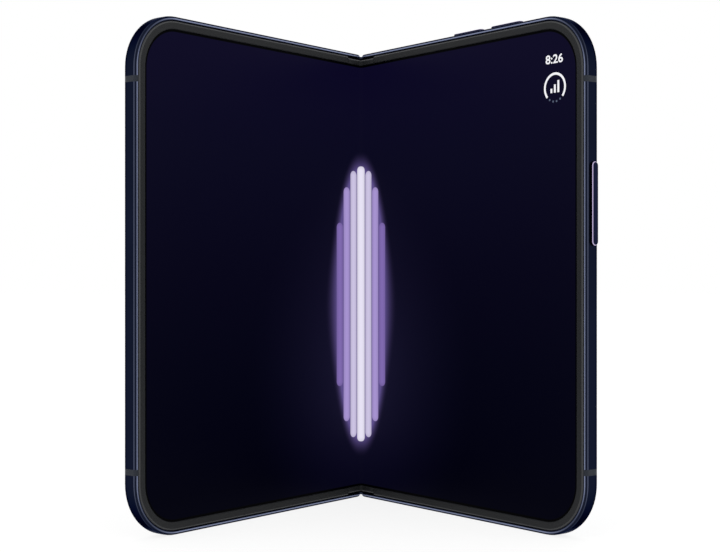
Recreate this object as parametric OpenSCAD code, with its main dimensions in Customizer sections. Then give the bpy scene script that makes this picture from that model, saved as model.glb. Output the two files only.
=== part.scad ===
// Book-style folding smartphone, standing on its bottom edge and partly folded.
// Each half is drawn lying open: x runs from the crease to the outer edge, y from the
// screen side (0) to the back, z up. rest_pose() then folds it about its own virtual pivot.

/* [Body] */
// Height of the phone, bottom edge to top edge
body_h = 120.6; // [110:0.2:130]
// Width of one half, crease to outer edge
half_w = 82.5; // [76:0.5:92]
// Thickness of one half, screen border to back glass
half_t = 4.4; // [4.3:0.1:5.2]
// Outer corner radius
corner_r = 13; // [9:0.5:16]
// Angle that each half is folded up from flat, as the phone stands
fold_rest = 52; // [30:1:80]

/* [Metal frame] */
// Width of the metal rim beside the screen border
rim_w = 0.95; // [0.8:0.05:1.1]
// Rounding of the rim on the screen side
front_round = 0.7; // [0.4:0.05:0.75]
// Rounding of the frame on the back
back_round = 1.5; // [0.8:0.1:1.6]
// Depth of the frame wall behind the rim
wall_w = 2.2; // [1.9:0.1:2.6]
// Thickness of the middle plate of each half
mid_plate_t = 0.4; // [0.3:0.05:0.5]
// Step of the metal rim below the screen border
rim_drop = 0.08; // [0:0.02:0.2]

/* [Screen] */
// Height of the soft border above the folding screen
border_rise = 0.3; // [0.2:0.05:0.4]
// Width of the soft border
border_w = 1.9; // [1.4:0.1:2.4]
// Thickness of the folding screen
screen_t = 0.4; // [0.3:0.05:0.5]
// Thickness of the plate that backs the screen
support_t = 0.2; // [0.15:0.05:0.3]
// Reach of the flexible border cap on each side of the crease
cap_reach = 5.6; // [4.6:0.1:7]
// Half width of the strip of screen that bends at the crease
bend_half = 0.62; // [0.6:0.02:0.8]

/* [Hinge] */
// Distance of each virtual pivot from the crease
pivot_x = 0.3; // [0.28:0.01:0.35]
// Depth of each virtual pivot behind the screen border
pivot_y = 0.2; // [0.15:0.01:0.25]
// Outer radius of the spine cover about each pivot
spine_r = 3.6; // [3.5:0.05:3.65]
// Wall of the spine cover
spine_wall = 0.6; // [0.5:0.05:0.62]
// Running gap between the halves and the spine
spine_gap = 0.15; // [0.1:0.01:0.2]
// Inset of the spine ends from the top and bottom edges
spine_inset = 0.5; // [0.3:0.1:1]
// Outer radius of the curved rails of the hinge arms
rail_out = 2.9; // [2.85:0.01:2.92]
// Inner radius of the curved rails of the hinge arms
rail_in = 2.1; // [2:0.05:2.2]
// Thickness of the flat part of a hinge arm
arm_t = 0.5; // [0.4:0.05:0.55]
// Length of the flat part of a hinge arm, measured from the crease
arm_reach = 9; // [8.6:0.1:9.5]
// Gear module, the size of the hinge gear teeth
gear_module = 0.1; // [0.1:0.01:0.1]
// Radius of the gear shafts
shaft_r = 0.3; // [0.25:0.01:0.32]
// Radial running clearance of the gear shafts
shaft_play = 0.04; // [0.02:0.01:0.06]
// Friction clips on each gear shaft
clip_count = 4; // [2:1:4]

/* [Keys] */
// Length of each volume key
volume_key_l = 10.4; // [9:0.2:12]
// Crease to the middle of the inner volume key
volume_key_x = 41.1; // [40:0.1:46]
// Distance between the middles of the two volume keys
volume_pitch = 13.6; // [13:0.1:16]
// Length of the power key
power_key_l = 19; // [14:0.2:22]
// Height of the middle of the power key
power_key_z = 76.6; // [66:0.2:84]
// Width of the keys across the edge of the phone
key_w = 1.9; // [1.5:0.1:2]
// Height of the keys above the frame
key_rise = 0.65; // [0.3:0.05:0.7]
// Travel of the keys
key_travel = 0.25; // [0.15:0.05:0.3]
// Gap round each key
key_gap = 0.08; // [0.05:0.01:0.12]

/* [Back] */
// Thickness of the back glass and cover glass
glass_t = 0.6; // [0.5:0.05:0.7]
// Inset of the glass from the outer edges
glass_inset = 1.75; // [1.7:0.05:2.1]
// Crease to the hinge side of the glass
glass_x = 2.45; // [2.4:0.05:4]
// Length of the camera island
island_l = 34; // [30:0.5:38]
// Height of the camera island
island_w = 16; // [14:0.5:18]
// Rise of the camera island above the back glass
island_rise = 1.9; // [1.2:0.1:2.4]
// Radius of each lens ring
lens_r = 5.4; // [4.6:0.1:5.8]
// Radius of the light beside the lenses
light_r = 1.3; // [1:0.1:1.6]
// Distance of the camera island from the outer edge
island_edge = 5.5; // [4.5:0.5:9]
// Distance of the camera island from the top edge
island_top = 6.5; // [5:0.5:10]

/* [Charging port] */
// Width of the port opening
port_w = 8.34; // [8.34:0.01:8.34]
// Height of the port opening
port_h = 2.56; // [2.56:0.01:2.56]
// Wall of the port shell
port_wall = 0.15; // [0.1:0.01:0.15]
// Depth of the port
port_depth = 6.8; // [6.2:0.1:7.4]
// Crease to the middle of the port
port_x = 42; // [38:0.5:50]

/* [Inside] */
// Length of the right battery along the crease
battery_l = 76; // [60:1:80]
// Width of the right battery
battery_w = 43.8; // [34:0.2:46]
// Length of the left battery along the crease
left_battery_l = 86; // [70:1:88]
// Width of the left battery
left_battery_w = 47.8; // [38:0.2:50]
// Outer radius of the charging coil
coil_r = 19; // [14:0.5:20]
// Width of the winding of the charging coil
coil_w = 8; // [5:0.5:9]
// Size of each square camera housing
camera_box = 9.4; // [8:0.2:10]
// Length of the vibration motor
motor_l = 26; // [18:1:30]
// Length of each magnet
magnet_l = 9; // [6:0.5:12]
// Length of the speakers
speaker_l = 16; // [13:0.5:17]

/* [Hidden] */
$fn = 48;

eps = 0.01;
// Screen-side layers, as depths behind the top of the soft border.
screen_y = border_rise;
support_y = screen_y + screen_t;
plate_y = support_y + support_t;
// The fixed parts of the hinge start here, just under what swings over them.
base_y = plate_y + 0.15;
arm_back_y = base_y + arm_t;
cover_rim_y = arm_back_y + 0.1;
spine_in = spine_r - spine_wall;
spine_cut = spine_r + spine_gap;
glass_y = half_t - glass_t;
cavity_y = plate_y + mid_plate_t;
tip_x = 0.15;
rim_end_x = 0.45;
mid_plate_x = pivot_x + spine_cut + 0.35;
rail_end_x = 6.2;
border_u0 = rim_w + 0.15;
border_u1 = border_u0 + border_w;
screen_inset = rim_w + 0.2;
support_inset = rim_w + 0.25;

// A point of an open half, as it lies when the half is folded to rest.
function at_rest(p) =
    let (dx = p.x - pivot_x, dy = p.y - pivot_y)
    [pivot_x + dx * cos(fold_rest) + dy * sin(fold_rest),
     pivot_y - dx * sin(fold_rest) + dy * cos(fold_rest)];
function polar(r, a) = [r * cos(a), r * sin(a)];
function mirrored(pts) = [for (i = [len(pts) - 1:-1:0]) [-pts[i].x, pts[i].y]];

// Middle of the box round the folded phone, so that the origin lies under it.
outer_front_y = at_rest([half_w - front_round, rim_drop + front_round]).y - front_round;
spine_back_y = pivot_y + spine_r;
origin_y = -(outer_front_y + spine_back_y) / 2;

module placed() { translate([0, origin_y, 0]) children(); }
module rest_pose() {
    translate([pivot_x, pivot_y, 0]) rotate([0, 0, -fold_rest])
        translate([-pivot_x, -pivot_y, 0]) children();
}
module in_right() { placed() rest_pose() children(); }
module in_left() { placed() mirror([1, 0, 0]) rest_pose() children(); }
// The same thing at the bottom end of the hinge and, turned over, at the top end.
module both_ends() {
    children();
    translate([0, 0, body_h]) mirror([0, 0, 1]) children();
}
module box3(lo, hi) { translate(lo) cube(hi - lo); }
// An x-y outline raised from z0 to z1.
module raised(z0, z1) { translate([0, 0, z0]) linear_extrude(z1 - z0) children(); }
// An x-z outline running through the depth from y0 to y1.
module through(y0, y1) {
    translate([0, y1, 0]) rotate([90, 0, 0]) linear_extrude(y1 - y0) children();
}
// A rounded slot, l by w, centred on the origin.
module slot(l, w) {
    square([l - w, w], center = true);
    for (s = [-1, 1]) translate([s * (l - w) / 2, 0]) circle(w / 2);
}

// ---- outlines of one half ----

module half_outline(inset, x0) {
    translate([x0, inset]) square([half_w - corner_r - x0, body_h - 2 * inset]);
    translate([half_w - corner_r - eps, corner_r])
        square([corner_r - inset + eps, body_h - 2 * corner_r]);
    for (z = [corner_r, body_h - corner_r])
        translate([half_w - corner_r, z]) circle(corner_r - inset, $fn = 96);
}
module half_slab(inset, x0, y0, y1) { through(y0, y1) half_outline(inset, x0); }

// Sweeps a profile round the three outer edges of a half.
// The profile's x is the distance outside the edge, and its y is the depth.
module edge_sweep(x0) {
    l = half_w - corner_r - x0;
    translate([x0, 0, 0]) rotate([0, 90, 0]) linear_extrude(l) children();
    translate([x0 + l, 0, body_h]) rotate([0, -90, 0]) linear_extrude(l) children();
    translate([half_w, 0, corner_r]) linear_extrude(body_h - 2 * corner_r) children();
    translate([half_w - corner_r, 0, corner_r]) rotate([-90, 0, 0])
        rotate_extrude(angle = 90, $fn = 96) translate([corner_r, 0]) children();
    translate([half_w - corner_r, 0, body_h - corner_r]) rotate([-90, 0, 0])
        rotate([0, 0, -90]) rotate_extrude(angle = 90, $fn = 96)
            translate([corner_r, 0]) children();
}

module frame_profile() {
    difference() {
        intersection() {
            translate([-wall_w, rim_drop]) square([wall_w, half_t - rim_drop]);
            union() {
                translate([-wall_w, rim_drop + front_round])
                    square([wall_w, half_t - rim_drop - front_round - back_round]);
                translate([-wall_w, rim_drop]) square([wall_w - front_round, half_t / 2]);
                translate([-front_round, rim_drop + front_round]) circle(front_round);
                translate([-wall_w, half_t / 2])
                    square([wall_w - back_round, half_t / 2]);
                translate([-back_round, half_t - back_round]) circle(back_round);
            }
        }
        translate([-wall_w - eps, -eps]) square([wall_w - rim_w + eps, plate_y + eps]);
        translate([-wall_w - eps, glass_y])
            square([wall_w - glass_inset + 0.05 + eps, glass_t + eps]);
    }
}

// ---- hinge layout along the height, for the module at the bottom end ----

module_z = 3;
block_l = 3;
rail_l = 3;
sync_l = 1.6;
web_t = 0.8;
side_gap = 0.1;
clip_room = 2.2;
right_rail_z = module_z + block_l;
left_rail_z = right_rail_z + rail_l + 2 * side_gap + web_t;
clip_a_z = left_rail_z + rail_l + 2 * side_gap + web_t;
right_sync_z = clip_a_z + clip_room + web_t;
idler_z = right_sync_z + sync_l + 2 * side_gap + web_t;
left_sync_z = idler_z + sync_l + 2 * side_gap + web_t;
clip_b_z = left_sync_z + sync_l + 2 * side_gap + web_t;
module_end = clip_b_z + clip_room + block_l;

// ---- gear train: toothed arc, pinion, idler, idler, pinion, toothed arc ----

arc_teeth = 48;
pinion_teeth = 10;
idler_teeth = 12;
arc_pitch_r = gear_module * arc_teeth / 2;
pinion_pitch_r = gear_module * pinion_teeth / 2;
idler_pitch_r = gear_module * idler_teeth / 2;
mesh_angle = 54;
pinion_pos = [pivot_x, pivot_y] + polar(arc_pitch_r - pinion_pitch_r, mesh_angle);
idler_dx = pinion_pos.x - idler_pitch_r;
idler_pos = [idler_pitch_r,
    pinion_pos.y + sqrt(pow(pinion_pitch_r + idler_pitch_r, 2) - idler_dx * idler_dx)];
// Angle of one tooth of each wheel, worked out from mesh to mesh.
right_arc_phase = -fold_rest;
pinion_r_phase = mesh_angle - (360 / pinion_teeth)
    * ((mesh_angle - right_arc_phase) * arc_teeth / 360 - 0.5);
function driven_phase(from, from_teeth, bearing, teeth) =
    bearing + 180 - (360 / teeth) * (0.5 - (bearing - from) * from_teeth / 360);
bearing_in = atan2(idler_pos.y - pinion_pos.y, idler_pos.x - pinion_pos.x);
bearing_out = 180 + atan2(idler_pos.y - pinion_pos.y, pinion_pos.x - idler_pos.x);
idler_r_phase = driven_phase(pinion_r_phase, pinion_teeth, bearing_in, idler_teeth);
idler_l_phase = driven_phase(idler_r_phase, idler_teeth, 180, idler_teeth);
pinion_l_phase = driven_phase(idler_l_phase, idler_teeth, bearing_out, pinion_teeth);
left_mesh_angle = 180 - mesh_angle;
left_arc_phase = left_mesh_angle - (360 / arc_teeth)
    * (0.5 + (left_mesh_angle - pinion_l_phase) * pinion_teeth / 360);

module gear_2d(teeth, phase) {
    pitch_r = gear_module * teeth / 2;
    half = 360 / teeth / 4 * 0.86;
    root_r = pitch_r - 1.2 * gear_module;
    circle(root_r);
    for (i = [0:teeth - 1]) rotate(phase + i * 360 / teeth)
        polygon([polar(root_r - 0.05, -half * 1.3), polar(pitch_r, -half),
                 polar(pitch_r + 0.85 * gear_module, -half * 0.5),
                 polar(pitch_r + 0.85 * gear_module, half * 0.5),
                 polar(pitch_r, half), polar(root_r - 0.05, half * 1.3)]);
}

// A ring sector about the origin, from angle a0 to a1.
module sector(r0, r1, a0, a1) {
    steps = 8;
    far = 2 * r1;
    intersection() {
        difference() {
            circle(r1, $fn = 96);
            circle(r0, $fn = 96);
        }
        polygon(concat([[0, 0]],
            [for (i = [0:steps]) polar(far, a0 + (a1 - a0) * i / steps)]));
    }
}

// ---- hinge, fixed parts ----

// Region inside radius r of either pivot, or between them, behind depth y0.
module spine_region(r, y0) {
    intersection() {
        union() {
            for (s = [-1, 1]) translate([s * pivot_x, pivot_y]) circle(r, $fn = 96);
            translate([-pivot_x, pivot_y]) square([2 * pivot_x, r]);
        }
        translate([-2 * r, y0]) square([4 * r, 2 * r]);
    }
}
module pivot_disc(side, r, y0) {
    intersection() {
        translate([side * pivot_x, pivot_y]) circle(r, $fn = 96);
        translate([-2 * r, y0]) square([4 * r, 2 * r]);
    }
}

module spine_cover() {
    end_t = 1.2;
    color([0.13, 0.15, 0.23]) placed() difference() {
        union() {
            raised(spine_inset, body_h - spine_inset) difference() {
                spine_region(spine_r, cover_rim_y);
                spine_region(spine_in, 0);
            }
            both_ends() raised(spine_inset, spine_inset + end_t)
                spine_region(spine_r, base_y);
        }
        both_ends() spine_screw_places()
            screw_shank(shaft_r + 0.02, spine_screw_l + 0.02);
    }
}

// Screws along +Y, their heads level with y = 0.
module screw_shank(r, l) { rotate([-90, 0, 0]) cylinder(r = r, h = l, $fn = 24); }
spine_screw_head_r = 0.7;
spine_screw_head_h = 0.35;
spine_screw_l = spine_in + spine_wall * 0.6 + pivot_y - base_y;
module spine_screw_places() {
    for (z = [module_z + block_l / 2, module_end - block_l / 2])
        translate([0, base_y, z]) children();
}
module screw(head_r, head_h, shank_r, l) {
    drive_r = head_r * 0.45;
    difference() {
        union() {
            screw_shank(head_r, head_h);
            screw_shank(shank_r, l);
        }
        translate([0, -eps, 0]) rotate([-90, 0, 0])
            cylinder(r = drive_r, h = head_h * 0.7, $fn = 6);
    }
}
module spine_screws() {
    color([0.6, 0.6, 0.62]) placed() both_ends() spine_screw_places()
        screw(spine_screw_head_r, spine_screw_head_h, shaft_r, spine_screw_l);
}

module wheel_pocket(pos, pitch_r, z0, l) {
    translate([pos.x, pos.y, z0])
        cylinder(r = pitch_r + 2 * gear_module, h = l);
}
module shaft_bore(pos, z0, z1) {
    translate([pos.x, pos.y, z0]) cylinder(r = shaft_r + shaft_play, h = z1 - z0);
}
module rail_cavity(side, core_r, z0, l) {
    raised(z0, z0 + l) difference() {
        square(20, center = true);
        pivot_disc(side, core_r, 0);
    }
}
base_r = spine_in - 0.05;
left_pinion_pos = [-pinion_pos.x, pinion_pos.y];
left_idler_pos = [-idler_pos.x, idler_pos.y];

module hinge_base() {
    rail_room = rail_l + 2 * side_gap;
    sync_room = sync_l + 2 * side_gap;
    core_r = rail_in - 0.05;
    sync_core_r = arc_pitch_r - 2 * gear_module;
    color([0.55, 0.56, 0.58]) placed() both_ends() difference() {
        raised(module_z, module_end) spine_region(base_r, base_y);
        rail_cavity(1, core_r, right_rail_z, rail_room);
        rail_cavity(-1, core_r, left_rail_z, rail_room);
        rail_cavity(1, sync_core_r, right_sync_z, sync_room);
        rail_cavity(-1, sync_core_r, left_sync_z, sync_room);
        wheel_pocket(pinion_pos, pinion_pitch_r, right_sync_z, sync_room);
        wheel_pocket(left_pinion_pos, pinion_pitch_r, left_sync_z, sync_room);
        for (p = [pinion_pos, left_pinion_pos])
            wheel_pocket(p, pinion_pitch_r, idler_z, sync_room);
        for (p = [idler_pos, left_idler_pos]) {
            wheel_pocket(p, idler_pitch_r, idler_z, sync_room);
            shaft_bore(p, idler_z - web_t / 2, idler_z + sync_room + web_t / 2);
        }
        clip_pocket(pinion_pos, clip_a_z);
        clip_pocket(left_pinion_pos, clip_b_z);
        shaft_bore(pinion_pos, clip_a_z - web_t / 2, idler_z + sync_room + web_t / 2);
        shaft_bore(left_pinion_pos, idler_z - web_t / 2, clip_b_z + clip_room + 0.5);
        spine_screw_places() {
            screw_shank(shaft_r + 0.05, spine_screw_l);
            translate([0, -1, 0])
                screw_shank(spine_screw_head_r + 0.05, spine_screw_head_h + 1);
        }
    }
}

clip_t = 0.4;
clip_r = 0.62;
module clip_pocket(pos, z0) {
    translate([pos.x, pos.y, z0]) cylinder(r = clip_r + 0.08, h = clip_room);
}
// Split spring rings that grip a gear shaft and give the hinge its friction.
module clip_stack(pos, z0) {
    pitch = clip_room / clip_count;
    for (i = [0:clip_count - 1])
        translate([pos.x, pos.y, z0 + (i + 0.5) * pitch - clip_t / 2])
            linear_extrude(clip_t) difference() {
                circle(clip_r);
                circle(shaft_r + 0.01);
                translate([0, -shaft_r / 2]) square([2, shaft_r]);
            }
}
module friction_clips() {
    color([0.75, 0.75, 0.78]) placed() both_ends() {
        clip_stack(pinion_pos, clip_a_z);
        clip_stack(left_pinion_pos, clip_b_z);
    }
}

// ---- hinge, gears ----

module gear_wheel(pos, teeth, phase, z0) {
    translate([pos.x, pos.y, z0 + side_gap]) linear_extrude(sync_l) gear_2d(teeth, phase);
}
module gear_shaft(pos, z0, z1) {
    translate([pos.x, pos.y, z0]) cylinder(r = shaft_r, h = z1 - z0);
}
bearing_l = web_t / 2 - 0.05;
module gear_pinion_right() {
    color([0.8, 0.78, 0.7]) placed() both_ends() {
        gear_wheel(pinion_pos, pinion_teeth, pinion_r_phase, right_sync_z);
        gear_wheel(pinion_pos, pinion_teeth, pinion_r_phase, idler_z);
        gear_shaft(pinion_pos, clip_a_z - bearing_l,
            idler_z + sync_l + 2 * side_gap + bearing_l);
    }
}
module gear_pinion_left() {
    color([0.8, 0.78, 0.7]) placed() both_ends() {
        gear_wheel(left_pinion_pos, pinion_teeth, pinion_l_phase, left_sync_z);
        gear_wheel(left_pinion_pos, pinion_teeth, pinion_l_phase, idler_z);
        gear_shaft(left_pinion_pos, idler_z - bearing_l, clip_b_z + clip_room + 0.4);
    }
}
module gear_idler(pos, phase) {
    color([0.85, 0.7, 0.4]) placed() both_ends() {
        gear_wheel(pos, idler_teeth, phase, idler_z);
        gear_shaft(pos, idler_z - bearing_l, idler_z + sync_l + 2 * side_gap + bearing_l);
    }
}

// ---- hinge arms, one set for each half ----

arm_screw_x = 7.5;
arm_screw_head_r = 0.75;
arm_screw_head_h = 0.25;
module arm_plate(z0, l) {
    plate_x = pivot_x + sqrt(pow(rail_in, 2) - pow(base_y - pivot_y, 2)) + 0.15;
    difference() {
        box3([plate_x, base_y, z0], [arm_reach, arm_back_y, z0 + l]);
        translate([arm_screw_x, base_y - eps, z0 + l / 2]) {
            screw_shank(shaft_r + 0.05, 2);
            screw_shank(arm_screw_head_r + 0.05, arm_screw_head_h + eps);
        }
    }
}
rail_end_angle = 130;
sync_end_angle = mesh_angle + 98;
module rail_arm(z0) {
    arm_plate(z0, rail_l);
    raised(z0, z0 + rail_l) intersection() {
        translate([pivot_x, pivot_y]) sector(rail_in, rail_out, 0, rail_end_angle);
        translate([-9, base_y]) square([18, 9]);
    }
}
// phase is the angle of one inward tooth, seen with the half lying open.
module sync_arm(z0, phase) {
    root_r = arc_pitch_r + 1.2 * gear_module;
    step = 360 / arc_teeth;
    half = step / 4 * 0.86;
    first = ceil((mesh_angle - 10 - phase) / step);
    last = floor((sync_end_angle - 1 - phase) / step);
    arm_plate(z0, sync_l);
    raised(z0, z0 + sync_l) {
        intersection() {
            translate([pivot_x, pivot_y]) sector(root_r, rail_out, 0, sync_end_angle);
            translate([-9, base_y]) square([18, 9]);
        }
        translate([pivot_x, pivot_y]) for (i = [first:last])
            rotate(phase + i * step)
                polygon([polar(root_r + 0.05, -half * 1.3), polar(arc_pitch_r, -half),
                         polar(arc_pitch_r - 0.85 * gear_module, -half * 0.5),
                         polar(arc_pitch_r - 0.85 * gear_module, half * 0.5),
                         polar(arc_pitch_r, half), polar(root_r + 0.05, half * 1.3)]);
    }
}
right_stations = [[right_rail_z, rail_l], [right_sync_z, sync_l]];
left_stations = [[left_rail_z, rail_l], [left_sync_z, sync_l]];
module arm_screws(stations) {
    for (s = stations) translate([arm_screw_x, base_y, s[0] + side_gap + s[1] / 2])
        screw(arm_screw_head_r, arm_screw_head_h, shaft_r, 1.3);
}

// ---- the frame of one half ----

antenna_z = 15.1;
antenna_l = 1.4;
module antenna_places() {
    both_ends() raised(antenna_z, antenna_z + antenna_l)
        translate([half_w - wall_w, 0]) square([wall_w + 1, half_t + 1]);
}
module edge_bar() { edge_sweep(half_w - corner_r - 1) frame_profile(); }
module antenna_bands() {
    color([0.25, 0.27, 0.33]) intersection() {
        edge_bar();
        antenna_places();
    }
}

pad_t = 1;
module hinge_rail() {
    raised(0, body_h) difference() {
        translate([tip_x, arm_back_y]) square([rail_end_x - tip_x, half_t - arm_back_y]);
        translate([pivot_x, pivot_y]) circle(spine_cut, $fn = 96);
        translate([glass_x - 0.05, glass_y]) square([rail_end_x, glass_t + eps]);
    }
}
// Where the two ends of a rail stop short of the crease, on the screen side.
module rail_end_cut() {
    box3([-1, -1, -1], [rim_end_x, base_y, body_h + 1]);
    difference() {
        box3([rim_end_x - 1, -1, -1], [rim_end_x + front_round, base_y, front_round]);
        translate([rim_end_x + front_round, -2, front_round]) rotate([-90, 0, 0])
            cylinder(r = front_round, h = 6);
    }
}
module frame_half(stations) {
    difference() {
        union() {
            edge_sweep(tip_x) frame_profile();
            hinge_rail();
            half_slab(wall_w - 0.4, mid_plate_x, plate_y, cavity_y);
            both_ends() box3([mid_plate_x, arm_back_y, module_z],
                             [arm_reach + 0.5, arm_back_y + pad_t, module_end]);
        }
        both_ends() {
            rail_end_cut();
            for (s = stations) {
                z = s[0] + side_gap;
                box3([mid_plate_x - 1, plate_y - 1, z - side_gap],
                     [arm_reach + 0.1, arm_back_y, z + s[1] + side_gap]);
                translate([arm_screw_x, base_y, z + s[1] / 2])
                    screw_shank(shaft_r + 0.02, 1.35);
            }
        }
        // Room for the spine, behind the parts that reach over it.
        raised(-1, body_h + 1) intersection() {
            translate([pivot_x, pivot_y]) circle(spine_cut, $fn = 96);
            translate([-9, plate_y + 0.06]) square([18, 18]);
        }
        antenna_places();
        cable_slot();
    }
}
cable_z0 = 52;
cable_z1 = 68;
cable_t = 0.15;
cable_y = (cavity_y + arm_back_y) / 2;
module cable_slot() {
    box3([mid_plate_x - 1, cable_y - cable_t, cable_z0 - 1],
         [rail_end_x + 3, cable_y + cable_t, cable_z1 + 1]);
}

// ---- keys ----

key_y = (cavity_y + glass_y) / 2 - 0.2;
flange_w = key_w - 0.1;
flange_z0 = wall_w + 0.1;
flange_t = 0.6;
flange_over = 0.7;
flange_play = 0.3;
switch_room = 1.3;
volume_xs = [volume_key_x, volume_key_x + volume_pitch];
// A key seen from outside: its top faces +Z, and z = 0 is the frame's surface.
key_chamfer = 0.15;
module key_section(r, inner) {
    polygon([[inner, -flange_z0], [r, -flange_z0], [r, key_rise - key_chamfer],
             [r - key_chamfer, key_rise], [inner == 0 ? 0 : inner + key_chamfer, key_rise],
             [inner, key_rise - key_chamfer]]);
}
module key_shape(l, w) {
    translate([-(l - w) / 2, 0, 0]) rotate([90, 0, 90]) linear_extrude(l - w)
        key_section(w / 2, -w / 2);
    for (s = [-1, 1]) translate([s * (l - w) / 2, 0, 0]) rotate_extrude()
        key_section(w / 2, 0);
    translate([0, 0, -flange_z0 - flange_t]) linear_extrude(flange_t)
        square([l + 2 * flange_over, flange_w], center = true);
}
module on_top_edge(x) { translate([x, key_y, body_h]) children(); }
module on_outer_edge(z) { translate([half_w, key_y, z]) rotate([0, 90, 0]) children(); }
module volume_key(x) {
    color([0.12, 0.13, 0.2]) in_right() on_top_edge(x) key_shape(volume_key_l, key_w);
}
module power_key() {
    color([0.12, 0.13, 0.2]) in_right() on_outer_edge(power_key_z)
        key_shape(power_key_l, key_w);
}
module key_slot(l) {
    room = flange_t + key_travel + switch_room;
    translate([0, 0, -wall_w - 1]) linear_extrude(wall_w + 2)
        slot(l + 2 * key_gap, key_w + 2 * key_gap);
    translate([0, 0, -wall_w - room]) linear_extrude(room)
        square([l + 2 * (flange_over + flange_play), flange_w + 0.2], center = true);
}
switch_z = flange_z0 + flange_t + key_travel + 0.05;
module key_switch() {
    body = [3.2, 1.6, 0.9];
    translate([0, 0, -switch_z - body.z / 2]) cube(body, center = true);
}
module key_switches() {
    color([0.7, 0.7, 0.7]) in_right() {
        for (x = volume_xs) on_top_edge(x) key_switch();
        on_outer_edge(power_key_z) key_switch();
    }
}

// ---- edge openings ----

port_y = (plate_y + glass_y) / 2;
port_out = port_wall + 0.02;
speaker_hole_r = 0.65;
speaker_pitch = 2.1;
speaker_holes = 6;
port_screw_dx = 7;
function speaker_x(i, start) = start + i * speaker_pitch;
module bottom_openings() {
    translate([port_x, port_y, -1]) linear_extrude(port_depth + 1.2)
        slot(port_w + 2 * port_out, port_h + 2 * port_out);
    for (i = [0:speaker_holes - 1])
        translate([speaker_x(i, port_x + 10.5), port_y, -1])
            cylinder(r = speaker_hole_r, h = wall_w + 2);
    for (s = [-1, 1]) translate([port_x + s * port_screw_dx, port_y, -1])
        cylinder(r = port_screw_r + 0.05, h = wall_w + 3);
}
module top_openings() {
    for (i = [0:speaker_holes - 1])
        translate([speaker_x(i, port_x - 3), port_y, body_h - wall_w - 1])
            cylinder(r = speaker_hole_r, h = wall_w + 2);
}
port_screw_r = 0.75;
module port_screws() {
    color([0.3, 0.32, 0.38]) in_right() for (s = [-1, 1])
        translate([port_x + s * port_screw_dx, port_y, 0.15]) difference() {
            cylinder(r = port_screw_r, h = wall_w + 1.5);
            translate([0, 0, -eps]) cylinder(r = 0.4, h = 0.5, $fn = 6);
        }
}
module charging_port() {
    tongue = [6.6, 0.7, port_depth - 1];
    color([0.72, 0.73, 0.75]) in_right() translate([port_x, port_y, 0.1]) {
        difference() {
            linear_extrude(port_depth) slot(port_w + 2 * port_wall, port_h + 2 * port_wall);
            translate([0, 0, -eps]) linear_extrude(port_depth - 0.3)
                slot(port_w, port_h);
        }
        translate([0, 0, 0.9 + tongue.z / 2]) cube(tongue, center = true);
    }
}

// ---- the two frames ----

module right_frame() {
    color([0.16, 0.18, 0.28]) in_right() difference() {
        frame_half(right_stations);
        for (x = volume_xs) on_top_edge(x) key_slot(volume_key_l);
        on_outer_edge(power_key_z) key_slot(power_key_l);
        bottom_openings();
    }
}
module left_frame() {
    color([0.16, 0.18, 0.28]) in_left() difference() {
        frame_half(left_stations);
        top_openings();
    }
}

// ---- screen and its border ----

module border_profile() {
    lip = 0.06;
    translate([-border_u1, 0]) polygon([[0, border_rise], [0, lip], [lip, 0],
        [border_w - 0.2, 0], [border_w, 0.15], [border_w, border_rise]]);
}
module border_half() {
    color([0.17, 0.17, 0.18]) edge_sweep(cap_reach + 0.05) border_profile();
}
// A layer that follows both halves and bends at the crease, between depths y0 and y1.
module bent_layer(reach, y0, y1) {
    right = [at_rest([bend_half, y0]), at_rest([reach, y0]),
             at_rest([reach, y1]), at_rest([bend_half, y1])];
    polygon(concat([[0, y0]], right, [[0, y1]], mirrored(right)));
}
module border_cap() {
    color([0.19, 0.19, 0.2]) placed() raised(border_u0, border_u1)
        bent_layer(cap_reach, 0, border_rise);
}
module border_cap_bottom() { border_cap(); }
module border_cap_top() {
    translate([0, 0, body_h]) mirror([0, 0, 1]) border_cap();
}
module display_half() {
    color([0.05, 0.05, 0.12])
        half_slab(screen_inset, bend_half + 0.02, screen_y, support_y);
}
module display_fold_strip() {
    edge = [at_rest([bend_half, screen_y]), at_rest([bend_half, support_y])];
    color([0.05, 0.05, 0.12]) placed() raised(screen_inset, body_h - screen_inset)
        polygon(concat([[0, screen_y]], edge, [[0, support_y]], mirrored(edge)));
}
module support_half() {
    color([0.35, 0.36, 0.38])
        half_slab(support_inset, bend_half + 0.02, support_y, plate_y);
}

// ---- cable through the hinge ----

cable_run = [at_rest([12, cable_y]), at_rest([3.6, cable_y]), [2.45, 0.9], [1.95, 1.8],
             [1.1, 2.45], [0, 2.7]];
cable_path = concat(cable_run, [for (i = [4:-1:0]) [-cable_run[i].x, cable_run[i].y]]);
function side_of(pts, i, d) =
    let (a = pts[max(i - 1, 0)], b = pts[min(i + 1, len(pts) - 1)], t = b - a)
    pts[i] + [-t.y, t.x] * d / norm(t);
module hinge_flex_cable() {
    last = len(cable_path) - 1;
    color([0.75, 0.45, 0.15]) placed() raised(cable_z0, cable_z1)
        polygon(concat([for (i = [0:last]) side_of(cable_path, i, cable_t / 2)],
                       [for (i = [last:-1:0]) side_of(cable_path, i, -cable_t / 2)]));
}

// ---- backs ----

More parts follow.
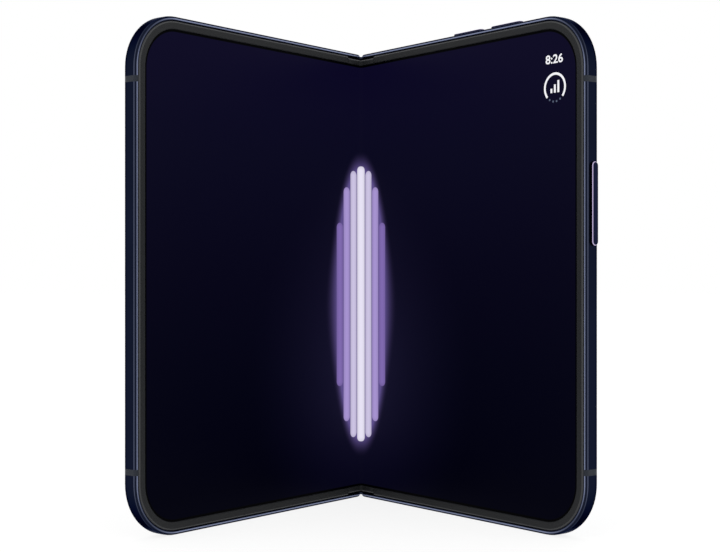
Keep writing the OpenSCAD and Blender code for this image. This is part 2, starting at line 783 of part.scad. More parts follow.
module glass_half() { half_slab(glass_inset, glass_x, glass_y, half_t); }
island_x = half_w - island_edge - island_l / 2;
island_z = body_h - island_top - island_w / 2;
lens_margin = 2.6;
light_margin = 1.1;
flash_x = island_x - island_l / 2 + light_margin + light_r;
lens_xs = [island_x + island_l / 2 - lens_margin - lens_r,
           flash_x + light_r + light_margin + lens_r];
light_gap = 0.05;
island_back_y = half_t + island_rise;
module lens_places() { for (x = lens_xs) translate([x, 0, island_z]) children(); }
module disc(r, y0, y1) {
    translate([0, y0, 0]) rotate([-90, 0, 0]) cylinder(r = r, h = y1 - y0);
}
module back_glass() {
    color([0.13, 0.14, 0.24]) in_right() difference() {
        glass_half();
        lens_places() disc(lens_r - 0.9, glass_y - 1, half_t + 1);
        translate([flash_x, 0, island_z]) disc(light_r + 2 * light_gap, glass_y - 1, half_t + 1);
    }
}
module camera_island() {
    rim = 0.5;
    color([0.15, 0.16, 0.27]) in_right() difference() {
        translate([island_x, 0, island_z]) {
            through(half_t, island_back_y - rim) slot(island_l, island_w);
            through(island_back_y - rim - eps, island_back_y)
                slot(island_l - rim, island_w - rim);
        }
        lens_places() disc(lens_r - 0.6, half_t - 1, island_back_y + 1);
        translate([flash_x, 0, island_z])
            disc(light_r + light_gap, half_t - 1, island_back_y + 1);
    }
}
ring_rise = 0.9;
module camera_lens_rings() {
    color([0.2, 0.22, 0.34]) in_right() lens_places() difference() {
        union() {
            disc(lens_r - 0.65, half_t + 0.3, island_back_y);
            disc(lens_r, island_back_y, island_back_y + ring_rise);
        }
        disc(lens_r - 1.6, half_t - 1, island_back_y + 2);
        disc(lens_r - 1.0, island_back_y + ring_rise - 0.5, island_back_y + 2);
    }
}
module camera_lens_glass() {
    color([0.05, 0.05, 0.1]) in_right() lens_places()
        disc(lens_r - 1.05, island_back_y + ring_rise - 0.5, island_back_y + ring_rise - 0.1);
}
module camera_modules() {
    b = camera_box / 2;
    color([0.1, 0.1, 0.1]) in_right() lens_places() {
        box3([-b, cavity_y + 0.1, -b], [b, glass_y - 0.1, b]);
        disc(lens_r - 1.7, glass_y - 0.1 - eps, island_back_y + ring_rise - 0.9);
    }
}
module flash_lens() {
    color([0.95, 0.93, 0.85]) in_right() translate([flash_x, 0, island_z])
        disc(light_r, glass_y, island_back_y - 0.05);
}
cover_camera_x = half_w / 2;
cover_camera_z = body_h - 6.2;
module cover_glass() {
    color([0.03, 0.03, 0.04]) in_left() difference() {
        glass_half();
        translate([cover_camera_x, 0, cover_camera_z]) disc(1.75, glass_y - 1, half_t + 1);
    }
}
module cover_display() {
    color([0.02, 0.02, 0.03]) in_left() difference() {
        half_slab(glass_inset + 1.4, rail_end_x + 1, glass_y - cover_t + 0.1, glass_y);
        translate([cover_camera_x, 0, cover_camera_z]) disc(1.85, glass_y - 1, half_t);
    }
}
module cover_camera() {
    color([0.06, 0.06, 0.08]) in_left()
        translate([cover_camera_x, 0, cover_camera_z]) {
            disc(1.7, cavity_y + 0.1, half_t - 0.02);
            box3([-2.5, cavity_y + 0.1, -2.5], [2.5, glass_y - 0.7, 2.5]);
        }
}

// ---- what the halves hold ----

inside_x = arm_reach + 3.2;
inside_y = cavity_y + 0.02;
battery_z = wall_w + 9.8;
board_gap = 2;
board_top = body_h - wall_w - 1.2;
right_board_z = battery_z + battery_l + board_gap;
right_board_x = volume_key_x - volume_key_l / 2 - 2.1;
module right_battery() {
    color([0.2, 0.2, 0.22]) in_right()
        box3([inside_x, inside_y, battery_z],
             [inside_x + battery_w, glass_y - 0.25, battery_z + battery_l]);
}
board_t = 0.6;
module main_board() {
    color([0.1, 0.35, 0.2]) in_right()
        box3([inside_x, inside_y, right_board_z],
             [right_board_x, inside_y + board_t, board_top]);
}
module shield_cans() {
    can_w = (right_board_x - inside_x - 3 * board_gap) / 2;
    can_l = (board_top - right_board_z) * 0.55;
    color([0.7, 0.7, 0.72]) in_right() for (i = [0, 1])
        translate([inside_x + board_gap + i * (can_w + board_gap), 0, 0])
            box3([0, inside_y + board_t, right_board_z + board_gap],
                 [can_w, glass_y - 0.2, right_board_z + board_gap + can_l]);
}
module charging_coil() {
    color([0.72, 0.42, 0.2]) in_right()
        translate([inside_x + battery_w / 2, 0, battery_z + battery_l / 2]) difference() {
            disc(coil_r, glass_y - 0.2, glass_y - 0.02);
            disc(coil_r - coil_w, glass_y - 1, glass_y + 1);
        }
}
speaker_clear = 5.8;
module right_speaker() {
    x = port_x + port_w / 2 + speaker_clear;
    color([0.12, 0.12, 0.13]) in_right()
        box3([x, inside_y, wall_w + 0.3], [x + speaker_l, glass_y - 0.1, battery_z - 1]);
}
speaker_h = 9.5;
cover_t = 0.6;
module left_speaker() {
    x = cover_camera_x + 6.5;
    top = body_h - wall_w - 0.3;
    color([0.12, 0.12, 0.13]) in_left()
        box3([x, inside_y, top - speaker_h], [x + speaker_l, glass_y - cover_t, top]);
}
magnet_z = 22;
magnet_w = 1.7;
module magnet_pair() {
    x = half_w - wall_w - 1 - magnet_w;
    both_ends() box3([x, inside_y, magnet_z],
                     [x + magnet_w, glass_y - cover_t, magnet_z + magnet_l]);
}
left_battery_drop = 2;
module left_battery() {
    z = battery_z - left_battery_drop;
    color([0.2, 0.2, 0.22]) in_left()
        box3([inside_x, inside_y, z],
             [inside_x + left_battery_w, glass_y - cover_t, z + left_battery_l]);
}
cover_camera_clear = 5.5;
module left_board() {
    z = battery_z - left_battery_drop + left_battery_l + board_gap;
    color([0.1, 0.35, 0.2]) in_left()
        box3([inside_x, inside_y, z],
             [cover_camera_x - cover_camera_clear, inside_y + 2 * board_t, board_top]);
}
module vibration_motor() {
    x = inside_x + left_battery_w + 3;
    z = (body_h - motor_l) / 2;
    color([0.65, 0.66, 0.68]) in_left()
        box3([x, inside_y, z], [x + motor_l / 4, glass_y - cover_t, z + motor_l]);
}

// ---- nodes ----

spine_cover();
hinge_base();
spine_screws();
friction_clips();
hinge_flex_cable();
display_fold_strip();
border_cap_top();
border_cap_bottom();
gear_pinion_right();
gear_pinion_left();
gear_idler(idler_pos, idler_r_phase);  // gear_idler_right
gear_idler(left_idler_pos, idler_l_phase);  // gear_idler_left
right_frame();
in_right() antenna_bands();  // right_antenna_bands
in_right() border_half();  // right_border
in_right() display_half();  // display_right
in_right() support_half();  // right_support_plate
color([0.6, 0.6, 0.62]) in_right() both_ends() rail_arm(right_rail_z + side_gap);  // right_rail_arms
color([0.7, 0.68, 0.6]) in_right() both_ends() sync_arm(right_sync_z + side_gap, 0);  // right_sync_arms
color([0.6, 0.6, 0.62]) in_right() both_ends() arm_screws(right_stations);  // right_arm_screws
back_glass();
camera_island();
camera_lens_rings();
camera_lens_glass();
camera_modules();
flash_lens();
right_battery();
main_board();
shield_cans();
charging_coil();
charging_port();
port_screws();
right_speaker();
key_switches();
color([0.5, 0.5, 0.52]) in_right() magnet_pair();  // right_magnets
left_frame();
in_left() antenna_bands();  // left_antenna_bands
in_left() border_half();  // left_border
in_left() display_half();  // display_left
in_left() support_half();  // left_support_plate
color([0.6, 0.6, 0.62]) in_left() both_ends() rail_arm(left_rail_z + side_gap);  // left_rail_arms
color([0.7, 0.68, 0.6]) in_left() both_ends()  // left_sync_arms
        sync_arm(left_sync_z + side_gap, 180 - left_arc_phase + fold_rest);
color([0.6, 0.6, 0.62]) in_left() both_ends() arm_screws(left_stations);  // left_arm_screws
cover_glass();
cover_display();
cover_camera();
left_battery();
left_board();
left_speaker();
vibration_motor();
color([0.5, 0.5, 0.52]) in_left() magnet_pair();  // left_magnets
volume_key(volume_xs[1]);  // volume_up_key
volume_key(volume_xs[0]);  // volume_down_key
power_key();
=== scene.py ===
# %% [markdown]
# # A folding phone, dressed over its solids
# The solids of a book-style folding phone come in as a fixed frame, standing on their bottom edge
# and partly folded. This lesson gives every solid the look of its real material, and builds in
# mesh what a solid can't show: the screen and its soft border bending over the crease, and the
# lit picture. We load the frame first.

# %% Load the solids
import math

import bmesh
import bpy
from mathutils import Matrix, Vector


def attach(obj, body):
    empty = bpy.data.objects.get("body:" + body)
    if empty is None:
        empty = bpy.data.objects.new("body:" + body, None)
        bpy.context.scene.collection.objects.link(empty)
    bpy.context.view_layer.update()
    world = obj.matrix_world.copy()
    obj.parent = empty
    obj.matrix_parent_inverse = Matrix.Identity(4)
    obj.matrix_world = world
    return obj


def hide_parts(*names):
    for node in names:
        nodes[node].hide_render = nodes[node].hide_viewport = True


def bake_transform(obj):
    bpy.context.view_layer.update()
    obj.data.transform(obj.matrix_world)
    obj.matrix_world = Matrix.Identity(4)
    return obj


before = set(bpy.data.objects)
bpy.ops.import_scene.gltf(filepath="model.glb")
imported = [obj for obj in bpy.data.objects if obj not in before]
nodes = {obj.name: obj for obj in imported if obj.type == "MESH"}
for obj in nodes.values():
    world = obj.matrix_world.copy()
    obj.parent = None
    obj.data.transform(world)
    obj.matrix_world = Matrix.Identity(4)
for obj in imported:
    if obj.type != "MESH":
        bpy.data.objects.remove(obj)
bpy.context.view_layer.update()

# %% [markdown]
# ## Where a point of a folded half is
# Each half is easiest to think of lying open: u runs from the crease to the outer edge, depth
# from the screen side to the back, and v up. The hinge then folds it about its own pivot, so one
# small function turns those three sizes, in millimetres, into a place in the scene, in metres.

# %% Sizes of the phone, in millimetres
MM = 0.001
HEIGHT, HALF_WIDTH = 120.6, 82.5
CORNER = 13.0
FOLD = math.radians(52)
PIVOT_U, PIVOT_DEPTH = 0.3, 0.2
CREASE_Y = 30.2829


def folded(u, depth, v, side=1):
    """A point of the right half (side 1) or the left half (side -1), as the phone stands."""
    du, dd = u - PIVOT_U, depth - PIVOT_DEPTH
    x = PIVOT_U + du * math.cos(FOLD) + dd * math.sin(FOLD)
    y = CREASE_Y + PIVOT_DEPTH - du * math.sin(FOLD) + dd * math.cos(FOLD)
    return Vector((side * x, y, v)) * MM


print("outer edge of the right half at", tuple(round(c, 4) for c in folded(HALF_WIDTH, 0, 0)))

# %% [markdown]
# ## Camera
# A product camera stands level with the middle of the phone, straight in front of the crease,
# with a short telephoto lens. The two halves then lean towards us like an open book.

# %% Camera
CAMERA_BACK = 370.93
FOCAL_LENGTH, SENSOR_WIDTH = 68.03, 36
camera_data = bpy.data.cameras.new("product_camera")
camera_data.lens = FOCAL_LENGTH
camera_data.sensor_width = SENSOR_WIDTH
camera_data.clip_start, camera_data.clip_end = 0.01, 20
camera_data.shift_x, camera_data.shift_y = -0.0013, -0.0005
camera = bpy.data.objects.new("product_camera", camera_data)
camera.location = (0, (CREASE_Y - CAMERA_BACK) * MM, HEIGHT / 2 * MM)
camera.rotation_euler = (math.radians(90), 0, 0)
bpy.context.scene.collection.objects.link(camera)
bpy.context.scene.camera = camera
bpy.context.scene.view_settings.view_transform = "Standard"
print("camera stands", CAMERA_BACK, "mm in front of the crease, lens", FOCAL_LENGTH, "mm")

# %% [markdown]
# ## Small helpers for materials
# Colours are picked as sRGB hex values, as in any paint program, and the renderer wants linear
# light, so one function converts them. The other adds a node, sets what we name and links what we
# pass.

# %% Colour and node helpers


def linear(hex_colour):
    """An sRGB hex colour as linear red, green, blue and alpha."""
    parts = [int(hex_colour[i:i + 2], 16) / 255 for i in (1, 3, 5)]
    return [c / 12.92 if c <= 0.04045 else ((c + 0.055) / 1.055) ** 2.4 for c in parts] + [1.0]


def add(tree, kind, sockets=None, **settings):
    """A new node: settings are its own options, sockets are values or links by name or place."""
    made = tree.nodes.new(kind)
    for name, value in settings.items():
        setattr(made, name, value)
    for name, value in (sockets or {}).items():
        if isinstance(value, bpy.types.NodeSocket):
            tree.links.new(value, made.inputs[name])
        else:
            made.inputs[name].default_value = value
    return made


print("mid grey #808080 is", round(linear("#808080")[0], 4), "in linear light")

# %% [markdown]
# Metal, plastic and glass can all be made with the one Principled shader that Blender gives to a
# new material. So every finish starts from it, with the values that are the same all over set on
# its own sockets, and adds links for what varies.

# %% A material to start from


def surface(name, sockets):
    """A material with one Principled shader, and its tree and shader for more links."""
    material = bpy.data.materials.new(name)
    material.use_nodes = True
    tree = material.node_tree
    shader = tree.nodes["Principled BSDF"]
    for socket, value in sockets.items():
        shader.inputs[socket].default_value = value
    return material, tree, shader


# %% [markdown]
# No real surface has one flat colour. So in nearly every finish the colour wanders between two
# close tones, in grains whose size we give in millimetres. The coordinates are the object's own in
# metres, so a noise of scale one over that size has grains of that size. Squeezing the coordinates
# upwards draws the grains out that way.

# %% Two tones in grains of a real size


def wander(tree, socket, tone, tone_light, grain_mm, detail=3.0, squeeze=1.0):
    """Lets a colour wander between two tones, and gives the grain, from nought to one."""
    place = add(tree, "ShaderNodeTexCoord").outputs["Object"]
    if squeeze != 1.0:
        place = add(tree, "ShaderNodeMapping",
                    {"Vector": place, "Scale": (1, 1, squeeze)}).outputs["Vector"]
    grain = add(tree, "ShaderNodeTexNoise", {"Vector": place, "Scale": 1 / (grain_mm * MM),
                                             "Detail": detail}).outputs["Fac"]
    mixed = add(tree, "ShaderNodeMix", {"Factor": grain, 6: linear(tone), 7: linear(tone_light)},
                data_type="RGBA")
    tree.links.new(mixed.outputs[2], socket)
    return grain


# %% [markdown]
# ## Anodised aluminium
# The frame is milled aluminium, blasted with fine beads and dyed dark blue in an acid bath. The
# blasting leaves a grain that scatters reflections a little, and the dye takes unevenly by a hair.
# The beads are about 0.1 mm, too fine to see from here, so the grain is drawn at 0.35 mm. A
# metal's colour is the colour of its reflection, so Base Color holds the dye and Metallic is 1.
# The dyed layer stays dark even where we look along it, so the tint at a shallow angle is a grey
# blue and not white: darker on the deep-dyed frame and keys, paler on the pieces of the back.

# %% Anodised aluminium
DYED_TINT, BACK_TINT = "#8088a0", "#c0c4d0"
BEAD_GRAIN, DYE_CLOUD = 0.35, 14


def anodised_aluminium(name, dye, dye_light, roughness, tint=DYED_TINT):
    material, tree, shader = surface(name, {"Metallic": 1.0, "Roughness": roughness,
                                            "Specular Tint": linear(tint)})
    wander(tree, shader.inputs["Base Color"], dye, dye_light, DYE_CLOUD)
    place = add(tree, "ShaderNodeTexCoord").outputs["Object"]
    grain = add(tree, "ShaderNodeTexNoise",
                {"Vector": place, "Scale": 1 / (BEAD_GRAIN * MM), "Detail": 2.0})
    spread = add(tree, "ShaderNodeMapRange",
                 {"Value": grain.outputs["Fac"], "To Min": roughness - 0.06,
                  "To Max": roughness + 0.08})
    tree.links.new(spread.outputs["Result"], shader.inputs["Roughness"])
    bump = add(tree, "ShaderNodeBump", {"Height": grain.outputs["Fac"], "Strength": 0.12,
                                        "Distance": 0.02 * MM})
    tree.links.new(bump.outputs["Normal"], shader.inputs["Normal"])
    return material


frame_aluminium = anodised_aluminium("anodised_frame", "#161a28", "#1b2032", 0.34)
key_aluminium = anodised_aluminium("anodised_keys", "#191c30", "#20243b", 0.3)
island_aluminium = anodised_aluminium("anodised_island", "#20263c", "#283049", 0.34, BACK_TINT)
ring_aluminium = anodised_aluminium("turned_lens_rings", "#3d4462", "#4b5375", 0.22, BACK_TINT)
spine_aluminium = anodised_aluminium("anodised_spine", "#232839", "#2c3246", 0.28, BACK_TINT)
print("anodised aluminium, bead grain", BEAD_GRAIN, "mm")

# %% [markdown]
# ## Diamond-cut edges and their painted highlights
# The front edge of the frame is cut twice more with a diamond tool after the blasting, and dyed
# again, which leaves it smoother. The paler line next to the border, and the fainter one where
# the rounding meets the side, are painted highlights: the light a rounded edge catches, painted
# into its colour. The first is a matter of how far a point lies inside the outline, the second of
# how deep it lies behind the screen. Both halves are mirror images, so the size of x is enough to
# work either out: the fold is a turn, and these nodes turn it back.

# %% How far a point lies along its half


def along_half(tree, u_share, depth_share):
    """How far a point lies along u, depth or a mix of them, and how far up, in metres."""
    axes = add(tree, "ShaderNodeSeparateXYZ",
               {"Vector": add(tree, "ShaderNodeTexCoord").outputs["Object"]})
    beside = add(tree, "ShaderNodeMath", {0: axes.outputs["X"]}, operation="ABSOLUTE")
    per_x = u_share * math.cos(FOLD) + depth_share * math.sin(FOLD)
    per_y = depth_share * math.cos(FOLD) - u_share * math.sin(FOLD)
    start = (u_share * PIVOT_U + depth_share * PIVOT_DEPTH - PIVOT_U * per_x
             - (CREASE_Y + PIVOT_DEPTH) * per_y)
    way = add(tree, "ShaderNodeMath", {0: axes.outputs["Y"], 1: per_y, 2: start * MM},
              operation="MULTIPLY_ADD")
    way = add(tree, "ShaderNodeMath", {0: beside.outputs[0], 1: per_x, 2: way.outputs[0]},
              operation="MULTIPLY_ADD")
    return way.outputs[0], axes.outputs["Z"]


def between(tree, value, low, high):
    """One where the value lies between two sizes in millimetres, and nought elsewhere."""
    return add(tree, "ShaderNodeMath", {0: value, 1: (low + high) / 2 * MM,
                                        2: (high - low) / 2 * MM}, operation="COMPARE").outputs[0]


print("one step along u is", round(math.cos(FOLD), 3), "of x and", round(-math.sin(FOLD), 3),
      "of y")

# %% [markdown]
# How far a point lies inside the rounded outline is the corner's radius less its distance from the
# corner's middle, where only what lies past the straight sides counts. We take it as a share of
# the radius, so the same nodes serve whether lengths come in metres or in millimetres.

# %% How far a point lies from the middle of its corner


def past_straight(tree, way, half, middle=0, unit=MM):
    """How far a point lies into the corner along one way, as a share of the corner's radius."""
    off = add(tree, "ShaderNodeMath", {0: way, 1: middle * unit}, operation="SUBTRACT")
    off = add(tree, "ShaderNodeMath", {0: off.outputs[0]}, operation="ABSOLUTE")
    return add(tree, "ShaderNodeMapRange", {"Value": off.outputs[0],
                                            "From Min": (half - CORNER) * unit,
                                            "From Max": half * unit}).outputs["Result"]


def from_corner_share(tree, u_way, v_way, unit=MM):
    """How far a point lies from its corner's middle or straight side, as a share of the radius."""
    pair = add(tree, "ShaderNodeCombineXYZ",
               {"X": past_straight(tree, u_way, HALF_WIDTH, unit=unit),
                "Y": past_straight(tree, v_way, HEIGHT / 2, HEIGHT / 2, unit)})
    return add(tree, "ShaderNodeVectorMath", {0: pair.outputs[0]},
               operation="LENGTH").outputs["Value"]


print("the straight sides are", HALF_WIDTH - CORNER, "and", HEIGHT - 2 * CORNER, "mm long")

# %% [markdown]
# The cut and its painted highlight change a finish that is there already, so we take what feeds
# the shader now, mix it with the highlight's colour, a white tint and the cut's roughness, and
# feed that in its place.

# %% A smoother finish and a painted highlight on part of a metal


def lay_over(tree, socket, mask, colour):
    """Lays a colour over whatever feeds a colour socket now, where the mask is one."""
    mixed = add(tree, "ShaderNodeMix", {"Factor": mask, 6: socket.links[0].from_socket,
                                        7: linear(colour)}, data_type="RGBA")
    tree.links.new(mixed.outputs[2], socket)


def cut_with_painted_highlight(material, mask, colour, roughness):
    """Gives a metal a smoother finish and a paler painted highlight where the mask is one."""
    tree = material.node_tree
    shader = tree.nodes["Principled BSDF"]
    old_spread = shader.inputs["Roughness"].links[0].from_socket
    tint = add(tree, "ShaderNodeMix",
               {"Factor": mask, 6: linear(DYED_TINT), 7: linear("#ffffff")}, data_type="RGBA")
    tree.links.new(tint.outputs[2], shader.inputs["Specular Tint"])
    lay_over(tree, shader.inputs["Base Color"], mask, colour)
    spread = add(tree, "ShaderNodeMix", {"Factor": mask, 2: old_spread, 3: roughness})
    tree.links.new(spread.outputs[0], shader.inputs["Roughness"])


# %% [markdown]
# The first painted highlight lies a set way inside the outline on the front, the second a set
# depth down the side. Both fade where a point lies far into the corner both ways at once.

# %% Painted highlight lines of the frame, in millimetres
CUT_HIGHLIGHT_FROM, CUT_HIGHLIGHT_TO, CUT_HIGHLIGHT_DEPTH = 0.48, 0.78, 0.35
SIDE_HIGHLIGHT_FROM, SIDE_HIGHLIGHT_TO, SIDE_HIGHLIGHT_INSET, OUTLINE_SLACK = 0.45, 0.64, 0.25, 0.05
SIDE_HIGHLIGHT_STRENGTH = 0.38
CORNER_REACHED, CORNER_HIGHLIGHT_STRENGTH = 0.45, 0.25

tree = frame_aluminium.node_tree
depth_way = along_half(tree, 0, 1)[0]
outer_way, height_way = along_half(tree, 1, 0)
inset = add(tree, "ShaderNodeMath", {0: from_corner_share(tree, outer_way, height_way),
                                     1: -CORNER * MM, 2: CORNER * MM},
            operation="MULTIPLY_ADD").outputs[0]
line = add(tree, "ShaderNodeMath", {0: between(tree, inset, CUT_HIGHLIGHT_FROM, CUT_HIGHLIGHT_TO),
                                    1: between(tree, depth_way, 0, CUT_HIGHLIGHT_DEPTH)},
           operation="MULTIPLY")
side_line = add(tree, "ShaderNodeMath",
                {0: between(tree, depth_way, SIDE_HIGHLIGHT_FROM, SIDE_HIGHLIGHT_TO),
                 1: between(tree, inset, -OUTLINE_SLACK, SIDE_HIGHLIGHT_INSET)}, operation="MULTIPLY")
line = add(tree, "ShaderNodeMath", {0: side_line.outputs[0], 1: SIDE_HIGHLIGHT_STRENGTH,
                                    2: line.outputs[0]}, operation="MULTIPLY_ADD")
turn = add(tree, "ShaderNodeMath", {0: past_straight(tree, outer_way, HALF_WIDTH),
                                    1: past_straight(tree, height_way, HEIGHT / 2, HEIGHT / 2)},
           operation="MULTIPLY")
left = add(tree, "ShaderNodeMapRange", {"Value": turn.outputs[0], "From Max": CORNER_REACHED,
                                        "To Min": 1.0, "To Max": CORNER_HIGHLIGHT_STRENGTH})
line = add(tree, "ShaderNodeMath", {0: line.outputs[0], 1: left.outputs["Result"]},
           operation="MULTIPLY")
# A paler blue grey along the edge: a painted highlight of the rounded front edge.
cut_with_painted_highlight(frame_aluminium, line.outputs[0], "#7b839f", 0.3)
print("frame cut", CUT_HIGHLIGHT_FROM, "to", CUT_HIGHLIGHT_TO, "mm in, and", SIDE_HIGHLIGHT_FROM, "mm down the side")

# %% [markdown]
# The small chamfer round each key is cut in the same way, and lies a set distance outside the
# frame; it gets a pale lilac painted highlight. On the top edge the highlight starts a little
# higher, because those keys show their side less.

# %% Painted highlights on the key chamfers, in millimetres outside the frame
KEY_HIGHLIGHT_FROM, KEY_HIGHLIGHT_TO = 0.495, 0.646
TOP_KEY_HIGHLIGHT_LESS = 0.07
tree = key_aluminium.node_tree
outer_way, height_way = along_half(tree, 1, 0)
side_key_highlight = between(tree, outer_way, HALF_WIDTH + KEY_HIGHLIGHT_FROM, HALF_WIDTH + KEY_HIGHLIGHT_TO)
top_key_highlight = between(tree, height_way, HEIGHT + KEY_HIGHLIGHT_FROM + TOP_KEY_HIGHLIGHT_LESS,
                  HEIGHT + KEY_HIGHLIGHT_TO)
either = add(tree, "ShaderNodeMath", {0: side_key_highlight, 1: top_key_highlight}, operation="MAXIMUM")
# Pale lilac along the chamfer: a painted highlight of the light the key's edge catches.
cut_with_painted_highlight(key_aluminium, either.outputs[0], "#c4b6dc", 0.2)
print("key chamfers cut", KEY_HIGHLIGHT_FROM, "to", KEY_HIGHLIGHT_TO, "mm out")

# %% [markdown]
# ## Moulded plastics
# The soft border round the screen is a moulded elastomer: matt, dark grey, with a faint even
# texture from the mould. The antenna breaks are glass-filled nylon, poured into slots in the frame
# and milled flush. Both are dielectrics, so their colour is their own and their gloss is weak and
# wide. The nylon is dyed with the frame, so its gloss has the frame's tint.

# %% Moulded plastics


def moulded_plastic(name, colour, colour_light, roughness, grain_mm, specular=0.5,
                    tint="#ffffff"):
    material, tree, shader = surface(name, {"Roughness": roughness, "IOR": 1.5,
                                            "Specular IOR Level": specular,
                                            "Specular Tint": linear(tint)})
    grain = wander(tree, shader.inputs["Base Color"], colour, colour_light, grain_mm)
    bump = add(tree, "ShaderNodeBump", {"Height": grain, "Strength": 0.25,
                                        "Distance": 0.03 * MM})
    tree.links.new(bump.outputs["Normal"], shader.inputs["Normal"])
    return material


border_elastomer = moulded_plastic("border_elastomer", "#1b1c1d", "#232426", 0.55, 0.3, 0.15)
# The lip's paler grey is a painted highlight of the light its slope catches.
border_lip_highlight = moulded_plastic("border_lip_painted_highlight", "#2d2e30", "#343537", 0.4, 0.3, 0.3)
antenna_nylon = moulded_plastic("antenna_nylon", "#25282d", "#2e3137", 0.5, 0.4, 0.2,
                                DYED_TINT)
speaker_plastic = moulded_plastic("speaker_plastic", "#181819", "#222224", 0.55, 0.5)
lens_ink = moulded_plastic("lens_mask_ink", "#030304", "#060607", 0.5, 0.5, 0.05)
film_wrap = moulded_plastic("battery_wrap", "#26262a", "#303036", 0.4, 2.0)
camera_plastic = moulded_plastic("camera_housing", "#070708", "#0d0d0f", 0.4, 0.4, 0.12)
cable_film = moulded_plastic("amber_cable_film", "#8a5214", "#a86a20", 0.35, 1.5)
board_laminate = moulded_plastic("board_laminate", "#10402a", "#1a5638", 0.45, 0.25)
print("border grain 0.3 mm, nylon grain 0.4 mm")

# %% [markdown]
# ## Steel, copper and magnets
# These show only through an opening or in a cutaway, but a part that is used again should be
# finished inside as well. Each is a metal with a rolled or drawn grain, so we draw the grains out
# along the height.

# %% Inner metals
GRAIN_SQUEEZE = 0.08


def drawn_metal(name, colour, colour_light, roughness, grain_mm):
    material, tree, shader = surface(name, {"Metallic": 1.0, "Roughness": roughness})
    grain = wander(tree, shader.inputs["Base Color"], colour, colour_light, grain_mm,
                   squeeze=GRAIN_SQUEEZE)
    spread = add(tree, "ShaderNodeMapRange", {"Value": grain, "To Min": roughness - 0.08,
                                              "To Max": roughness + 0.1})
    tree.links.new(spread.outputs["Result"], shader.inputs["Roughness"])
    return material


hinge_steel = drawn_metal("sintered_hinge_steel", "#8c8f94", "#a2a5aa", 0.38, 0.2)
gear_steel = drawn_metal("gear_steel", "#a09a8c", "#b8b2a4", 0.3, 0.2)
screw_steel = drawn_metal("screw_steel", "#b4b6ba", "#caccd0", 0.25, 0.15)
port_steel = drawn_metal("port_steel", "#b8babf", "#d0d2d6", 0.28, 0.2)
can_steel = drawn_metal("tinned_shield_steel", "#aeb0b4", "#c2c4c8", 0.35, 0.3)
magnet_nickel = drawn_metal("nickel_plate", "#8e8c88", "#a09e9a", 0.3, 0.4)
coil_copper = drawn_metal("coil_copper", "#b06a3c", "#c88050", 0.35, 0.25)
print("drawn grain stretched", round(1 / GRAIN_SQUEEZE, 1), "times")

# %% [markdown]
# ## Coated glass
# The back is tempered glass with a dark blue film behind it, etched to a satin. A clear coat over
# a rougher, coloured base gives the same look: a soft blue body with one weak reflection on top.
# The cover glass of the other half is polished, and black behind. Both have a layer against glare,
# so their gloss is set low. A lens has the same kind of layer, which mirrors violet.

# %% Coated glass
FILM_FLAKE, FILM_CLOUD = 0.4, 30
VIOLET_LAYER = "#8f6dff"


def coated_glass(name, film, film_light, roughness, gloss, coat=0.0, coat_roughness=0.03):
    material, tree, shader = surface(name, {"Roughness": roughness, "IOR": 1.5,
                                            "Specular IOR Level": gloss, "Coat Weight": coat,
                                            "Coat Roughness": coat_roughness})
    place = add(tree, "ShaderNodeTexCoord").outputs["Object"]
    flake = add(tree, "ShaderNodeTexNoise",
                {"Vector": place, "Scale": 1 / (FILM_FLAKE * MM), "Detail": 2.0})
    cloud = add(tree, "ShaderNodeTexNoise",
                {"Vector": place, "Scale": 1 / (FILM_CLOUD * MM), "Detail": 2.0})
    mixed = add(tree, "ShaderNodeMath", {0: flake.outputs["Fac"], 1: cloud.outputs["Fac"]},
                operation="MULTIPLY")
    tone = add(tree, "ShaderNodeMix", {"Factor": mixed.outputs[0], 6: linear(film),
                                       7: linear(film_light)}, data_type="RGBA")
    tree.links.new(tone.outputs[2], shader.inputs["Base Color"])
    bump = add(tree, "ShaderNodeBump", {"Height": flake.outputs["Fac"], "Strength": 0.06,
                                        "Distance": 0.01 * MM})
    tree.links.new(bump.outputs["Normal"], shader.inputs["Normal"])
    return material


back_coating = coated_glass("satin_blue_glass", "#1a2140", "#28335e", 0.45, 0.2, 0.12, 0.3)
cover_black = coated_glass("polished_cover_glass", "#040405", "#08080a", 0.05, 0.12)
lens_element = coated_glass("coated_lens_element", "#07040f", "#120a2a", 0.04, 0.8)
lens_shader = lens_element.node_tree.nodes["Principled BSDF"]
lens_shader.inputs["Specular Tint"].default_value = linear(VIOLET_LAYER)
light_lens = coated_glass("light_lens", "#b9b4a4", "#cfcabb", 0.3, 0.5)
light_phosphor = coated_glass("light_phosphor", "#c8a84a", "#d8bc62", 0.4, 0.3)
print("film flake", FILM_FLAKE, "mm, cloud", FILM_CLOUD, "mm")

# %% [markdown]
# The cover display is off, and still it isn't quite as black as the ink printed round it. So we
# let a faint blue grey through the glass inside its rounded outline, which starts a little off
# the spine.

# %% Cover display behind the glass
DISPLAY_INSET, DISPLAY_START, DISPLAY_SOFTNESS = 3.15, 7.2, 0.1
EDGE_SOFTNESS = 0.01
tree = cover_black.node_tree
outer_way, height_way = along_half(tree, 1, 0)
display_edge = 1 - DISPLAY_INSET / CORNER
within = add(tree, "ShaderNodeMapRange",
             {"Value": from_corner_share(tree, outer_way, height_way),
              "From Min": display_edge + EDGE_SOFTNESS, "From Max": display_edge - EDGE_SOFTNESS})
begun = add(tree, "ShaderNodeMapRange",
            {"Value": outer_way, "From Min": (DISPLAY_START - DISPLAY_SOFTNESS) * MM,
             "From Max": (DISPLAY_START + DISPLAY_SOFTNESS) * MM})
display = add(tree, "ShaderNodeMath", {0: within.outputs["Result"], 1: begun.outputs["Result"]},
              operation="MULTIPLY")
lay_over(tree, tree.nodes["Principled BSDF"].inputs["Base Color"], display.outputs[0], "#11131c")
print("cover display starts", DISPLAY_START, "mm from the crease")

